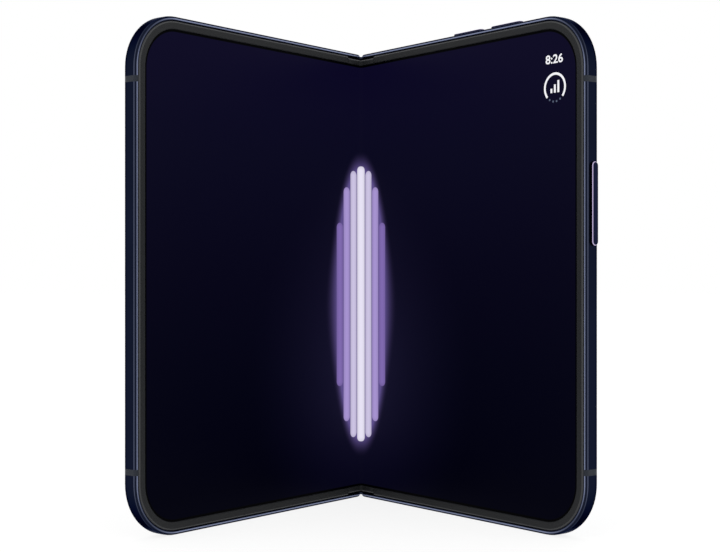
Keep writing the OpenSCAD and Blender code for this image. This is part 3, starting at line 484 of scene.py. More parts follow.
# %% [markdown]
# ## The lit screen
# The inner screen shows a plain night-blue ground that darkens downwards and, on the crease, a row
# of upright round-ended bars in lilac with a soft glow. It is light and not paint, so it goes to
# Emission. The mesh carries u and v in millimetres as its texture coordinates, so the picture
# stays in place while the screen bends. A coating keeps the film from mirroring, so its gloss is
# very weak.

# %% Ground of the picture
SCREEN_GLOSS = 0.015


def ramp_stops(node, stops):
    """Sets a colour ramp from (place, hex colour) pairs."""
    elements = node.color_ramp.elements
    while len(elements) < len(stops):
        elements.new(0.5)
    for element, (place, colour) in zip(elements, stops):
        element.position = place
        element.color = linear(colour)


screen, tree, shader = surface("lit_screen", {"Base Color": linear("#010102"), "Roughness": 0.35,
                                              "Specular IOR Level": SCREEN_GLOSS,
                                              "Emission Strength": 1.0})
place = add(tree, "ShaderNodeUVMap", uv_map="millimetres").outputs["UV"]
axes = add(tree, "ShaderNodeSeparateXYZ", {"Vector": place})
u_mm, v_mm = axes.outputs["X"], axes.outputs["Y"]
up = add(tree, "ShaderNodeMath", {0: v_mm, 1: HEIGHT}, operation="DIVIDE")
ground = add(tree, "ShaderNodeValToRGB", {"Fac": up.outputs[0]})
ramp_stops(ground, [(0.07, "#00000b"), (0.15, "#02020f"), (0.3, "#040413"), (0.5, "#070618"),
                    (0.75, "#0b0a1f"), (0.86, "#0c0a22"), (0.95, "#0b0823")])
print("ground has", len(ground.color_ramp.elements), "stops")

# %% [markdown]
# Each bar is a capsule. Its number is the size of u divided by the pitch, rounded, and limited to
# the outermost bar. The ends of the bars lie on an ellipse, longest in the middle. Across, we
# measure from that bar's own middle, and along, only past its straight part, so the length of the
# two together is the distance to the bar's spine.

# %% Distance to the nearest bar
PITCH, BAR_RADIUS, LAST_BAR = 2.95, 1.34, 3
ROW_MIDDLE, ROW_HALF_HEIGHT, ROW_HALF_WIDTH = 52.6, 37.5, 10.9
number = add(tree, "ShaderNodeMath", {0: u_mm, 1: PITCH}, operation="DIVIDE")
number = add(tree, "ShaderNodeMath", {0: number.outputs[0]}, operation="ROUND")
number = add(tree, "ShaderNodeMath", {0: number.outputs[0], 1: LAST_BAR}, operation="MINIMUM")
middle = add(tree, "ShaderNodeMath", {0: number.outputs[0], 1: PITCH}, operation="MULTIPLY")
across = add(tree, "ShaderNodeMath", {0: u_mm, 1: middle.outputs[0]}, operation="SUBTRACT")
offset = add(tree, "ShaderNodeMath", {0: middle.outputs[0], 1: ROW_HALF_WIDTH},
             operation="DIVIDE")
offset = add(tree, "ShaderNodeMath", {0: offset.outputs[0], 1: 2.0}, operation="POWER")
offset = add(tree, "ShaderNodeMath", {0: 1.0, 1: offset.outputs[0]}, operation="SUBTRACT")
offset = add(tree, "ShaderNodeMath", {0: offset.outputs[0]}, operation="SQRT")
straight = add(tree, "ShaderNodeMath",
               {0: offset.outputs[0], 1: ROW_HALF_HEIGHT, 2: -BAR_RADIUS},
               operation="MULTIPLY_ADD")
from_middle = add(tree, "ShaderNodeMath", {0: v_mm, 1: ROW_MIDDLE}, operation="SUBTRACT")
from_middle = add(tree, "ShaderNodeMath", {0: from_middle.outputs[0]}, operation="ABSOLUTE")
along = add(tree, "ShaderNodeMath", {0: from_middle.outputs[0], 1: straight.outputs[0]},
            operation="SUBTRACT")
along = add(tree, "ShaderNodeMath", {0: along.outputs[0], 1: 0.0}, operation="MAXIMUM")
pair = add(tree, "ShaderNodeCombineXYZ", {"X": across.outputs[0], "Y": along.outputs[0]})
reach = add(tree, "ShaderNodeVectorMath", {0: pair.outputs[0]}, operation="LENGTH")
print("bars are", 2 * BAR_RADIUS, "mm wide,", PITCH, "mm apart")

# %% [markdown]
# A bar starts where that distance is its radius, with a softness of about a tenth of a millimetre.
# Its colour goes by its number, and it is a little dimmer towards its sides, as a rounded bar is.

# %% Light of the bars
SOFT_OUTSIDE, SOFT_INSIDE = 0.05, 0.07
RIDGE_HALF, SIDE_LIGHT = 0.3, 0.8
inside = add(tree, "ShaderNodeMapRange", {"Value": reach.outputs["Value"],
                                          "From Min": BAR_RADIUS + SOFT_OUTSIDE,
                                          "From Max": BAR_RADIUS - SOFT_INSIDE})
share = add(tree, "ShaderNodeMath", {0: number.outputs[0], 1: LAST_BAR}, operation="DIVIDE")
bar_colour = add(tree, "ShaderNodeValToRGB", {"Fac": share.outputs[0]})
ramp_stops(bar_colour, [(0.0, "#e7e2f5"), (0.34, "#cbc2e2"), (0.67, "#a692d0"),
                        (1.0, "#7f69ae")])
shade = add(tree, "ShaderNodeMapRange", {"Value": reach.outputs["Value"], "From Min": RIDGE_HALF,
                                         "From Max": BAR_RADIUS, "To Min": 1.0,
                                         "To Max": SIDE_LIGHT})
bar_light = add(tree, "ShaderNodeVectorMath", {0: bar_colour.outputs["Color"],
                                               "Scale": shade.outputs["Result"]},
                operation="SCALE")
print(2 * LAST_BAR + 1, "bars in", len(bar_colour.color_ramp.elements), "colours")

# %% [markdown]
# The glow can't follow single bars, or it would jump from one to the next. It follows the ellipse
# round the whole row instead. A point's distance from an ellipse is close to its distance from the
# middle, less that distance divided by how many times the ellipse must grow to reach the point.

# %% Glow round the row of bars
GLOW_REACH, GLOW_START, GLOW_FALL = 4.4, -1.0, 2.4


def lit_by(tree, below, nearness, fall, colour):
    """What lies below, and on it a light: its nearness to the power of its fall, in its colour."""
    fade = add(tree, "ShaderNodeMath", {0: nearness, 1: fall}, operation="POWER")
    glow = add(tree, "ShaderNodeVectorMath", {0: linear(colour)[:3], "Scale": fade.outputs[0]},
               operation="SCALE")
    return add(tree, "ShaderNodeVectorMath", {0: below, 1: glow.outputs["Vector"]},
               operation="ADD").outputs["Vector"]


from_centre = add(tree, "ShaderNodeVectorMath", {0: place, 1: (0, ROW_MIDDLE, 0)},
                  operation="SUBTRACT")
grown = add(tree, "ShaderNodeVectorMath",
            {0: from_centre.outputs[0], 1: (ROW_HALF_WIDTH, ROW_HALF_HEIGHT, 1)},
            operation="DIVIDE")
grown = add(tree, "ShaderNodeVectorMath", {0: grown.outputs[0]}, operation="LENGTH")
away = add(tree, "ShaderNodeVectorMath", {0: from_centre.outputs[0]}, operation="LENGTH")
to_edge = add(tree, "ShaderNodeMath", {0: away.outputs["Value"], 1: grown.outputs["Value"]},
              operation="DIVIDE")
beyond = add(tree, "ShaderNodeMath", {0: away.outputs["Value"], 1: to_edge.outputs[0]},
             operation="SUBTRACT")
near = add(tree, "ShaderNodeMapRange", {"Value": beyond.outputs[0], "From Min": GLOW_REACH,
                                        "From Max": GLOW_START})
lit_ground = lit_by(tree, ground.outputs["Color"], near.outputs["Result"], GLOW_FALL, "#5a4b84")
print("glow reaches", GLOW_REACH, "mm past the row")

# %% [markdown]
# A second light, faint and wide, lies over the lower half of the crease: partly the picture's own
# glow, partly painted light that lifts the shade the fold casts there. It is an ellipse too, and
# fades evenly from its middle. The bars then go on top of both.

# %% Wide faint light, and the bars over it
HALO_V, HALO_SIZE, HALO_FALL = 34.0, (45.0, 52.0, 1.0), 1.5
from_halo = add(tree, "ShaderNodeVectorMath", {0: place, 1: (0, HALO_V, 0)},
                operation="SUBTRACT")
from_halo = add(tree, "ShaderNodeVectorMath", {0: from_halo.outputs[0], 1: HALO_SIZE},
                operation="DIVIDE")
from_halo = add(tree, "ShaderNodeVectorMath", {0: from_halo.outputs[0]}, operation="LENGTH")
halo = add(tree, "ShaderNodeMapRange", {"Value": from_halo.outputs["Value"], "From Min": 1.0,
                                        "From Max": 0.0})
# Faint violet grey: partly the picture's glow, partly painted light against the fold's shade.
lit_ground = lit_by(tree, lit_ground, halo.outputs["Result"], HALO_FALL, "#151328")
picture = add(tree, "ShaderNodeMix", {"Factor": inside.outputs["Result"], 6: lit_ground,
                                      7: bar_light.outputs["Vector"]}, data_type="RGBA")
print("wide light", HALO_SIZE[0], "by", HALO_SIZE[1], "mm about", HALO_V, "mm up")

# %% [markdown]
# A display never lights right up to its edge: a line of about half a millimetre stays black along
# the border. The same nodes as for the cut lines find it, this time from the texture coordinates,
# which are in millimetres.

# %% Black line round the lit area
LIT_INSET, LIT_SOFTNESS = 3.62, 0.05
lit = add(tree, "ShaderNodeMapRange",
          {"Value": from_corner_share(tree, u_mm, v_mm, unit=1),
           "From Min": 1 - (LIT_INSET - LIT_SOFTNESS) / CORNER,
           "From Max": 1 - (LIT_INSET + LIT_SOFTNESS) / CORNER})
light = add(tree, "ShaderNodeVectorMath", {0: picture.outputs[2], "Scale": lit.outputs["Result"]},
            operation="SCALE")
tree.links.new(light.outputs["Vector"], shader.inputs["Emission Color"])
print("screen picture:", len(tree.nodes), "shader nodes")

# %% [markdown]
# ## The folding screen
# The real screen is one sheet of plastic and ultra-thin glass. Two stiff plates carry it, and only
# a strip a millimetre wide bends at the crease. We make each half as a thin slab with columns of
# points that get dense near the crease and round the corners, and ease that part over to the
# middle plane.

# %% Where the columns of a bending slab stand
BEND, BEND_STEPS = 0.62, 8
COLUMNS_BETWEEN = [2, 5, 10, 14, 30, 50]
TURN_STEP = 5


def bending(u, depth, v, side):
    """As folded(), but eased over to the middle plane inside the narrow strip that bends."""
    if u >= BEND:
        return folded(u, depth, v, side)
    middle = Vector((0, CREASE_Y + depth, v)) * MM
    return middle.lerp(folded(BEND, depth, v, side), u / BEND)


def edge_of(u, inset):
    """How far above the bottom edge an inset line of the phone's outline lies at u."""
    past = max(0.0, u - (HALF_WIDTH - CORNER))
    radius = CORNER - inset
    return CORNER - math.sqrt(max(0.0, radius * radius - past * past))


def columns(inset):
    """Places along u: dense in the bend, one at the corner's start, and dense round it."""
    bend = [BEND * i / BEND_STEPS for i in range(BEND_STEPS + 1)]
    radius = CORNER - inset
    turn = [HALF_WIDTH - CORNER + radius * math.sin(math.radians(a))
            for a in range(0, 91, TURN_STEP)]
    return bend + COLUMNS_BETWEEN + turn


print("the strip that bends is", 2 * BEND, "mm wide")

# %% [markdown]
# Most of our meshes are made alike. We lay rows of points, join each row with the next by faces,
# and turn the result into an object. So two helpers do the joining and the turning. A row may be
# a single point, as at the tip of a dome, and its faces are then triangles.

# %% From rows of points to an object


def join_rows(build, rows, lip=(), bands=()):
    """Faces between closed rows. Places in lip and rows in bands get the second material."""
    for k, (a, b) in enumerate(zip(rows, rows[1:])):
        count = max(len(a), len(b))
        for i in range(count):
            j = (i + 1) % count
            corners = (a[i % len(a)], a[j % len(a)], b[j % len(b)], b[i % len(b)])
            face = build.faces.new(list(dict.fromkeys(corners)))
            face.material_index = 1 if i in lip or k in bands else 0


def piece_from(build, name, materials, sharp=None):
    """An object from a built mesh. With sharp, only edges over that many degrees show."""
    mesh = bpy.data.meshes.new(name)
    build.to_mesh(mesh)
    build.free()
    if sharp is not None:
        mesh.shade_smooth()
        mesh.set_sharp_from_angle(angle=math.radians(sharp))
    for material in materials:
        mesh.materials.append(material)
    piece = bpy.data.objects.new(name, mesh)
    bpy.context.scene.collection.objects.link(piece)
    return piece


# %% [markdown]
# Each column of the slab is a row of four points, two in front and two behind. Their u and v go
# into the texture coordinates.

# %% The two halves of the screen
SCREEN_FRONT, SCREEN_BACK = 0.3, 0.7
SCREEN_INSET = 1.15


def bending_slab(name, side, material, front, back, inset):
    """A slab of one half that bends at the crease, with u and v as texture coordinates."""
    build = bmesh.new()
    layer = build.loops.layers.uv.new("millimetres")
    flat = {}
    rows = []
    for u in columns(inset):
        low = edge_of(u, inset)
        row = []
        for depth, v in ((front, low), (front, HEIGHT - low), (back, HEIGHT - low), (back, low)):
            vert = build.verts.new(bending(u, depth, v, side))
            flat[vert] = (u, v)
            row.append(vert)
        rows.append(row)
    join_rows(build, rows)
    for face in build.faces:
        for loop in face.loops:
            loop[layer].uv = flat[loop.vert]
    bmesh.ops.recalc_face_normals(build, faces=build.faces)
    return piece_from(build, name, (material,))


for side, half in ((1, "right"), (-1, "left")):
    piece = bending_slab("screen_" + half, side, screen, SCREEN_FRONT, SCREEN_BACK, SCREEN_INSET)
    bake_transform(piece)
    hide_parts("display_" + half, "display_fold_strip")
    print(piece.name, len(piece.data.vertices), "points")

# %% [markdown]
# ## The soft border
# A strip of elastomer runs round each half, between the metal rim and the picture. Its outer side
# slopes, so that a fingertip slides over it, and that lip has a paler painted highlight. It could
# be a curve with a bevel object, but a loop of our own keeps every point of the section where we
# want it. First come the stops on the phone's outline, each with an inward direction.

# %% Stops on the outline
CAP_REACH, BORDER_GAP = 5.6, 0.05


def outline_stops(start):
    """Places on the outline of one half with their inward directions, from crease to crease."""
    stops = [((start, 0.0), (0.0, 1.0))]
    for centre_v, first in ((CORNER, -90), (HEIGHT - CORNER, 0)):
        for a in range(first, first + 91, TURN_STEP):
            out = (math.cos(math.radians(a)), math.sin(math.radians(a)))
            stops.append(((HALF_WIDTH - CORNER + CORNER * out[0], centre_v + CORNER * out[1]),
                          (-out[0], -out[1])))
    stops.append(((start, HEIGHT), (0.0, -1.0)))
    return stops


border_stops = outline_stops(CAP_REACH + BORDER_GAP)
print(len(border_stops), "stops on the outline of one half")

# %% [markdown]
# The points of the section are pairs of inset and depth, and they are set off along the inward
# direction of every stop. A point close inside each edge of the flat top keeps the smooth shading
# of the edge off the flat. The two slopes of the lip get the paler painted highlight.

# %% Soft borders
BORDER_SECTION = [(1.1, 0.3), (1.1, 0.26), (1.12, 0.23), (1.42, 0.03), (1.5, 0.0), (1.56, 0.0),
                  (2.84, 0.0), (2.9, 0.0), (2.98, 0.03), (3.04, 0.1), (3.06, 0.3)]
# The two slopes of the lip get the paler colour, a painted highlight.
LIP_HIGHLIGHT = (2, 3)
STRIP_SHARP = 40


def strip_mesh(name, points, materials, lip=(), close_start=True):
    """A strip from rows of points, with flat ends; the lip's sides get the second material."""
    build = bmesh.new()
    rows = [[build.verts.new(point) for point in row] for row in points]
    join_rows(build, rows, lip)
    build.faces.new(rows[-1])
    if close_start:
        build.faces.new(rows[0])
    bmesh.ops.recalc_face_normals(build, faces=build.faces)
    return piece_from(build, name, materials, STRIP_SHARP)


for side, half in ((1, "right"), (-1, "left")):
    rows = [[folded(u + inset * du, depth, v + inset * dv, side)
             for inset, depth in BORDER_SECTION] for (u, v), (du, dv) in border_stops]
    piece = strip_mesh("soft_border_" + half, rows, (border_elastomer, border_lip_highlight), LIP_HIGHLIGHT)
    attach(piece, half + "_half")
    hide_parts(half + "_border")
    print(piece.name, len(piece.data.polygons), "faces")

# %% [markdown]
# ## Flexible caps of the border
# At both ends of the crease the soft border is a separate rubbery cap that bends with the screen.
# It is a narrower strip, set half a millimetre further in, so the rim can turn past it as the
# hinge folds. A fine gap parts it from the border of each half, and the cap slopes down to that
# gap, because its last row of points lies a little lower.

# %% Border caps
CAP_GAP, CAP_SLOPE, CAP_SINK = 0.3, 0.2, 0.16
CAP_BEND_STEPS = 10
CAP_SECTION = [(1.55, 0.3), (1.55, 0.26), (1.57, 0.23), (1.84, 0.05), (1.92, 0.02), (1.98, 0.02),
               (2.84, 0.02), (2.9, 0.02), (2.98, 0.05), (3.04, 0.12), (3.06, 0.3)]
cap_end = CAP_REACH - CAP_GAP
cap_places = ([BEND * i / CAP_BEND_STEPS for i in range(CAP_BEND_STEPS + 1)]
              + [1.5, 3.0, cap_end - CAP_SLOPE, cap_end])
for side, half in ((1, "right"), (-1, "left")):
    for at_top, end in ((True, "top"), (False, "bottom")):
        rows = []
        for u in cap_places:
            sink = CAP_SINK if u == cap_end else 0.0
            rows.append([bending(u, max(depth, sink), HEIGHT - inset if at_top else inset, side)
                         for inset, depth in CAP_SECTION])
        piece = strip_mesh(f"cap_{half}_{end}", rows, (border_elastomer, border_lip_highlight), LIP_HIGHLIGHT,
                           close_start=False)
        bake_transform(piece)
        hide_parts("border_cap_" + end)
        print(piece.name, len(piece.data.polygons), "faces")

# %% [markdown]
# ## The cable through the hinge
# A flat film cable carries signals from one half to the other. Copper lines run along it, drawn
# 1 mm apart so that they show. A wave that rises and falls with the height gives the lines, and
# they go over the amber film as the cover display went over its glass.

# %% Copper lines of the cable
TRACE_PITCH = 1.0
tree = cable_film.node_tree
axes = add(tree, "ShaderNodeSeparateXYZ",
           {"Vector": add(tree, "ShaderNodeTexCoord").outputs["Object"]})
lane = add(tree, "ShaderNodeMath", {0: axes.outputs["Z"], 1: TRACE_PITCH / 2 * MM},
           operation="PINGPONG")
trace = add(tree, "ShaderNodeMath", {0: lane.outputs[0], 1: TRACE_PITCH / 4 * MM},
            operation="GREATER_THAN")
lay_over(tree, tree.nodes["Principled BSDF"].inputs["Base Color"], trace.outputs[0], "#b4672c")
print("copper lines", TRACE_PITCH, "mm apart")

# %% [markdown]
# The cable lies flat in each half and hangs in a loop inside the spine, so that it can open and
# close with the phone. A smooth curve through a few points makes the loop round.

# %% Cable
CABLE_DEPTH, CABLE_LOW, CABLE_HIGH, CABLE_THICK = 1.425, 52, 68, 0.15
CABLE_FLAT = (12, 5, 3.6)
LOOP = [(2.45, 0.9), (1.95, 1.8), (1.1, 2.45), (0, 2.7), (-1.1, 2.45)]
ROUND_STEPS = 6


def through(a, b, c, d, t):
    """A point between b and c on a smooth curve that also heeds the stops before and after."""
    return 0.5 * (2 * b + (c - a) * t + (2 * a - 5 * b + 4 * c - d) * t * t
                  + (3 * b - a - 3 * c + d) * t ** 3)


for side, half in ((1, "right"), (-1, "left")):
    flat_part = [folded(u, CABLE_DEPTH, 0, side) for u in CABLE_FLAT]
    loop_part = [Vector((side * x, CREASE_Y + y, 0)) * MM for x, y in LOOP]
    stops = flat_part[1:] + loop_part
    middles = [flat_part[0]]
    for a, b, c, d in zip(stops, stops[1:], stops[2:], stops[3:]):
        middles += [through(a, b, c, d, i / ROUND_STEPS) for i in range(ROUND_STEPS)]
    middles.append(loop_part[3])
    rows = []
    for i, centre in enumerate(middles):
        way = middles[min(i + 1, len(middles) - 1)] - middles[max(i - 1, 0)]
        off = Vector((-way.y, way.x, 0)).normalized() * (CABLE_THICK / 2 * MM)
        rows.append([centre + off * face + Vector((0, 0, v * MM))
                     for face, v in ((1, CABLE_LOW), (1, CABLE_HIGH), (-1, CABLE_HIGH),
                                     (-1, CABLE_LOW))])
    piece = strip_mesh("hinge_cable_" + half, rows, (cable_film,))
    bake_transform(piece)
    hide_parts("hinge_flex_cable")
    print(piece.name, len(rows), "rows")

# %% [markdown]
# ## Cameras and light
# Lens barrels, lens windows and the lens over the light are turned or pressed round an axis
# through the back. One helper spins a section, given as pairs of radius and depth, round a place
# on one half. The camera's housing behind the barrel is a block with chamfered corners.

# %% Turned pieces
TURNED_SHARP, FULL_TURN = 32, 72
BLOCK_CHAMFER = 0.6


def turned(name, section, centre, half, materials, picks=(), block=None, steps=FULL_TURN):
    """A section of (radius, depth) pairs spun round an axis, with a chamfered block behind it."""
    side = 1 if half == "right_half" else -1
    build = bmesh.new()
    rings = []
    for radius, depth in section:
        angles = [math.tau * i / steps for i in range(steps if radius else 1)]
        rings.append([build.verts.new(folded(centre[0] + radius * math.cos(a), depth,
                                             centre[1] + radius * math.sin(a), side))
                      for a in angles])
    join_rows(build, rings, bands=picks)
    if block:
        reach, low, high = block
        near = reach - BLOCK_CHAMFER
        outline = [(reach, -near), (reach, near), (near, reach), (-near, reach),
                   (-reach, near), (-reach, -near), (-near, -reach), (near, -reach)]
        ends = [[build.verts.new(folded(centre[0] + x, depth, centre[1] + y, side))
                 for x, y in outline] for depth in (low, high)]
        join_rows(build, ends)
        for end in ends:
            build.faces.new(end)
    bmesh.ops.remove_doubles(build, verts=build.verts, dist=1e-8)
    bmesh.ops.recalc_face_normals(build, faces=build.faces)
    piece = piece_from(build, name, materials, TURNED_SHARP)
    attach(piece, half)
    return piece


print("a turned piece has", FULL_TURN, "sides")

# %% [markdown]
# A camera's window is clear glass, and real depth shows through it. Its IOR is set well below that
# of real glass, so the window bends and mirrors light as little as coated camera glass does. A
# faint smear, a couple of millimetres wide, keeps it from being perfect.

# %% Clear glass of the lens windows
SMEAR_SIZE, SMEAR_ROUGHNESS = 2, 0.04
window_glass, tree, shader = surface("lens_window_glass", {"Base Color": linear("#f2f4ff"),
                                                           "IOR": 1.12,
                                                           "Transmission Weight": 1.0})
place = add(tree, "ShaderNodeTexCoord").outputs["Object"]
smear = add(tree, "ShaderNodeTexNoise", {"Vector": place, "Scale": 1 / (SMEAR_SIZE * MM)})
spread = add(tree, "ShaderNodeMapRange", {"Value": smear.outputs["Fac"], "From Min": 0.4,
                                          "From Max": 0.8, "To Min": 0.0,
                                          "To Max": SMEAR_ROUGHNESS})
tree.links.new(spread.outputs["Result"], shader.inputs["Roughness"])
print("smears on the lens windows", SMEAR_SIZE, "mm wide")

# %% [markdown]
# A barrel steps down in dark ledges that trap stray light, to a domed lens with a violet coating.
# On the inner side of the window lies a printed black ring, which hides the rim of the barrel.

# %% Lens barrels and windows
LENS_V, LENS_US = 106.1, (69.0, 53.2)
BARREL = [(0, 3.7), (3.7, 3.7), (3.7, 6.22), (3.62, 6.3), (3.3, 6.3), (3.22, 6.22), (3.22, 6.04),
          (2.85, 6.04), (2.8, 5.96), (2.8, 5.78), (2.42, 5.72), (2.36, 5.64), (2.36, 5.44),
          (2.0, 5.38), (1.94, 5.3), (1.9, 5.1), (1.7, 5.22), (1.4, 5.36), (1.0, 5.46),
          (0.5, 5.52), (0, 5.54)]
DOME = range(15, 20)
HOUSING = (4.7, 1.45, 3.7)
WINDOW = [(0, 6.72), (4.31, 6.72), (4.35, 6.76), (4.35, 7.05), (4.3, 7.1), (0, 7.1)]
INK = [(2.95, 6.702), (4.33, 6.702), (4.33, 6.716), (2.95, 6.716), (2.95, 6.702)]
for number, lens_u in enumerate(LENS_US, 1):
    centre = (lens_u, LENS_V)
    barrel = turned(f"lens_barrel_{number}", BARREL, centre, "right_half",
                    (camera_plastic, lens_element), DOME, HOUSING)
    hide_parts("camera_modules")
    ink = turned(f"lens_mask_{number}", INK, centre, "right_half", (lens_ink,))
    window = turned(f"lens_window_{number}", WINDOW, centre, "right_half", (window_glass,))
    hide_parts("camera_lens_glass")
    print(barrel.name, len(barrel.data.polygons), "faces")

# %% [markdown]
# The light's lens is a pressed Fresnel lens: fine saw-toothed rings over a yellow phosphor. The
# phosphor is the flat middle of the section, so that part gets the second material.

# %% Light
LIGHT_U, SMALL_TURN = 45.4, 48
FRESNEL = [(0, 3.8), (1.3, 3.8), (1.3, 6.2), (1.25, 6.25), (1.08, 6.25), (1.04, 6.15),
           (0.88, 6.22), (0.84, 6.13), (0.68, 6.2), (0.64, 6.11), (0.48, 6.18), (0.44, 6.1),
           (0, 6.14)]
PHOSPHOR = (11,)
piece = turned("light_lens", FRESNEL, (LIGHT_U, LENS_V), "right_half",
               (light_lens, light_phosphor), PHOSPHOR, steps=SMALL_TURN)
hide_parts("flash_lens")
print(piece.name, len(piece.data.polygons), "faces")

# %% [markdown]
# The small camera in the cover glass is a black barrel as well, flush with the glass, with a small
# domed lens of its own.

# %% Cover camera
EYE_BELOW_TOP = 6.2
EYE = [(0, 1.5), (1.7, 1.5), (1.7, 4.33), (1.65, 4.38), (1.2, 4.38), (1.14, 4.32), (1.1, 4.2),
       (0.82, 4.16), (0.77, 4.08), (0.72, 3.98), (0.56, 4.06), (0.3, 4.12), (0, 4.14)]
EYE_DOME = (9, 10, 11)
EYE_HOUSING = (2.5, 1.45, 3.1)
piece = turned("cover_camera_barrel", EYE, (HALF_WIDTH / 2, HEIGHT - EYE_BELOW_TOP), "left_half",
               (camera_plastic, lens_element), EYE_DOME, EYE_HOUSING, SMALL_TURN)
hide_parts("cover_camera")
print(piece.name, len(piece.data.polygons), "faces")

# %% [markdown]
# ## Clock and gauge
# A phone's status marks are light as well, one kind full and one dim. The pixels behind them
# aren't perfectly even, so each light wavers a little between two close tones.

# %% Status lights
FLICKER_SIZE = 2


def status_light(name, tone, tone_light):
    """A material that only gives light, wavering between two tones."""
    material, tree, shader = surface(name, {"Base Color": linear("#000000"), "Roughness": 0.4,
                                            "Specular IOR Level": 0.1, "Emission Strength": 1.0})
    wander(tree, shader.inputs["Emission Color"], tone, tone_light, FLICKER_SIZE, detail=2.0)
    return material


mark_light = status_light("status_light", "#eeeef6", "#ffffff")
dim_light = status_light("dim_status_light", "#4f596e", "#5c667c")
print("status lights:", mark_light.name, "and", dim_light.name)

# %% [markdown]
# The marks are flat shapes a hair in front of the film, on the right half. Each is a list of
# polygons, drawn in millimetres about its own middle, and two small helpers give the shapes.

# %% Shapes of the marks
MARK_DEPTH = SCREEN_FRONT - 0.01
RING_STEP = 6


def mark(name, polygons, centre, material):
    """A flat mark from polygons in millimetres about its centre, on the right screen."""
    build = bmesh.new()
    for polygon in polygons:
        build.faces.new([build.verts.new(folded(centre[0] + x, MARK_DEPTH, centre[1] + y))
                         for x, y in polygon])
    piece = piece_from(build, name, (material,))
    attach(piece, "right_half")
    print(name, len(polygons), "polygons")


def arc_strip(radius, width, start, end):
    """Four-sided polygons round part of a ring."""
    turns = round((end - start) / RING_STEP)
    angles = [math.radians(start + (end - start) * i / turns) for i in range(turns + 1)]
    inner, outer = radius - width / 2, radius + width / 2
    return [[(r * math.cos(at), r * math.sin(at))
             for r, at in ((inner, a), (outer, a), (outer, b), (inner, b))]
            for a, b in zip(angles, angles[1:])]


def bar(x, low, high, width):
    """An upright rectangle about x."""
    return [(x - width / 2, low), (x + width / 2, low), (x + width / 2, high),
            (x - width / 2, high)]


print("marks lie", round(SCREEN_FRONT - MARK_DEPTH, 3), "mm in front of the film")

# %% [markdown]
# The gauge is an open ring with three bars in it, each taller than the one before, and four small
# dim ticks where the ring is open.

# %% Gauge
GAUGE = (72.46, 103.78)
RING_RADIUS, RING_WIDTH, RING_START, RING_END = 3.2, 0.55, -42, 222
BAR_WIDTH, BAR_FOOT, TICK_HALF = 0.6, -1.2, 0.22
mark("gauge_ring", arc_strip(RING_RADIUS, RING_WIDTH, RING_START, RING_END), GAUGE, mark_light)
mark("gauge_bars", [bar(x, BAR_FOOT, top, BAR_WIDTH)
                    for x, top in ((-1.1, -0.2), (0.0, 0.7), (1.1, 1.6))], GAUGE, mark_light)
mark("gauge_ticks", [bar(x, y - TICK_HALF, y + TICK_HALF, 2 * TICK_HALF)
                     for x, y in ((-1.65, -2.75), (-0.55, -3.2), (0.55, -3.2), (1.65, -2.75))],
     GAUGE, dim_light)

# %% [markdown]
# The clock's digits come from the built-in font. A text object gives us their mesh once, and we
# then move its points onto the screen and let the text go.

# %% Clock
CLOCK = (72.27, 110.29)
CLOCK_SIZE, CLOCK_WEIGHT, CLOCK_STRETCH = 2.8, 0.05, 1.16
digits_data = bpy.data.curves.new("clock_digits", "FONT")
digits_data.body = "8:26"
digits_data.align_x, digits_data.align_y = "CENTER", "CENTER"
digits_data.size = CLOCK_SIZE
digits_data.resolution_u = 4
digits_data.offset = CLOCK_WEIGHT
digits_text = bpy.data.objects.new("clock_text", digits_data)
bpy.context.scene.collection.objects.link(digits_text)
bpy.context.view_layer.update()
digits_mesh = bpy.data.meshes.new_from_object(digits_text.evaluated_get(
    bpy.context.evaluated_depsgraph_get()))
bpy.data.objects.remove(digits_text)
for axis, name in enumerate(("wide", "high")):
    places = [vertex.co[axis] for vertex in digits_mesh.vertices]
    print("clock", round(max(places) - min(places), 2), "mm", name, "before it is stretched")
for vertex in digits_mesh.vertices:
    vertex.co = folded(CLOCK[0] + vertex.co.x * CLOCK_STRETCH, MARK_DEPTH,
                       CLOCK[1] + vertex.co.y)
digits_mesh.materials.clear()
digits_mesh.materials.append(mark_light)
digits = bpy.data.objects.new("clock_digits", digits_mesh)
bpy.context.scene.collection.objects.link(digits)
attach(digits, "right_half")

# %% [markdown]
# ## Give every solid its finish
# One table pairs each finish with the solids that have it, and each solid's flat preview material
# gives way to it. The solids bring their own normals, so their rounded edges already look round.

# %% Finishes by solid
finishes = {
    frame_aluminium: ["right_frame", "left_frame"],
    key_aluminium: ["volume_up_key", "volume_down_key", "power_key"],
    island_aluminium: ["camera_island"],
    ring_aluminium: ["camera_lens_rings"],
    spine_aluminium: ["spine_cover"],
    border_elastomer: ["right_border", "left_border", "border_cap_top", "border_cap_bottom"],
    antenna_nylon: ["right_antenna_bands", "left_antenna_bands"],
    speaker_plastic: ["right_speaker", "left_speaker"],
    film_wrap: ["right_battery", "left_battery"],
    camera_plastic: ["camera_modules", "cover_camera", "camera_lens_glass", "flash_lens"],
    cable_film: ["hinge_flex_cable"],
    hinge_steel: ["hinge_base", "right_rail_arms", "left_rail_arms", "right_support_plate",
                  "left_support_plate"],
    gear_steel: ["gear_pinion_right", "gear_pinion_left", "gear_idler_right",
                 "gear_idler_left", "right_sync_arms", "left_sync_arms"],
    screw_steel: ["spine_screws", "right_arm_screws", "left_arm_screws", "port_screws",
                  "friction_clips"],
    port_steel: ["charging_port"],
    can_steel: ["shield_cans", "key_switches", "vibration_motor"],
    magnet_nickel: ["right_magnets", "left_magnets"],
    coil_copper: ["charging_coil"],
    board_laminate: ["main_board", "left_board"],
    back_coating: ["back_glass"],
    cover_black: ["cover_glass", "cover_display", "display_right", "display_left",
                  "display_fold_strip"],
}
for material, names in finishes.items():
    for name in names:
        solid = nodes[name].data
        solid.materials.clear()
        solid.materials.append(material)
dressed = {name for names in finishes.values() for name in names}
print("solids without a finish:", sorted(set(nodes) - dressed))

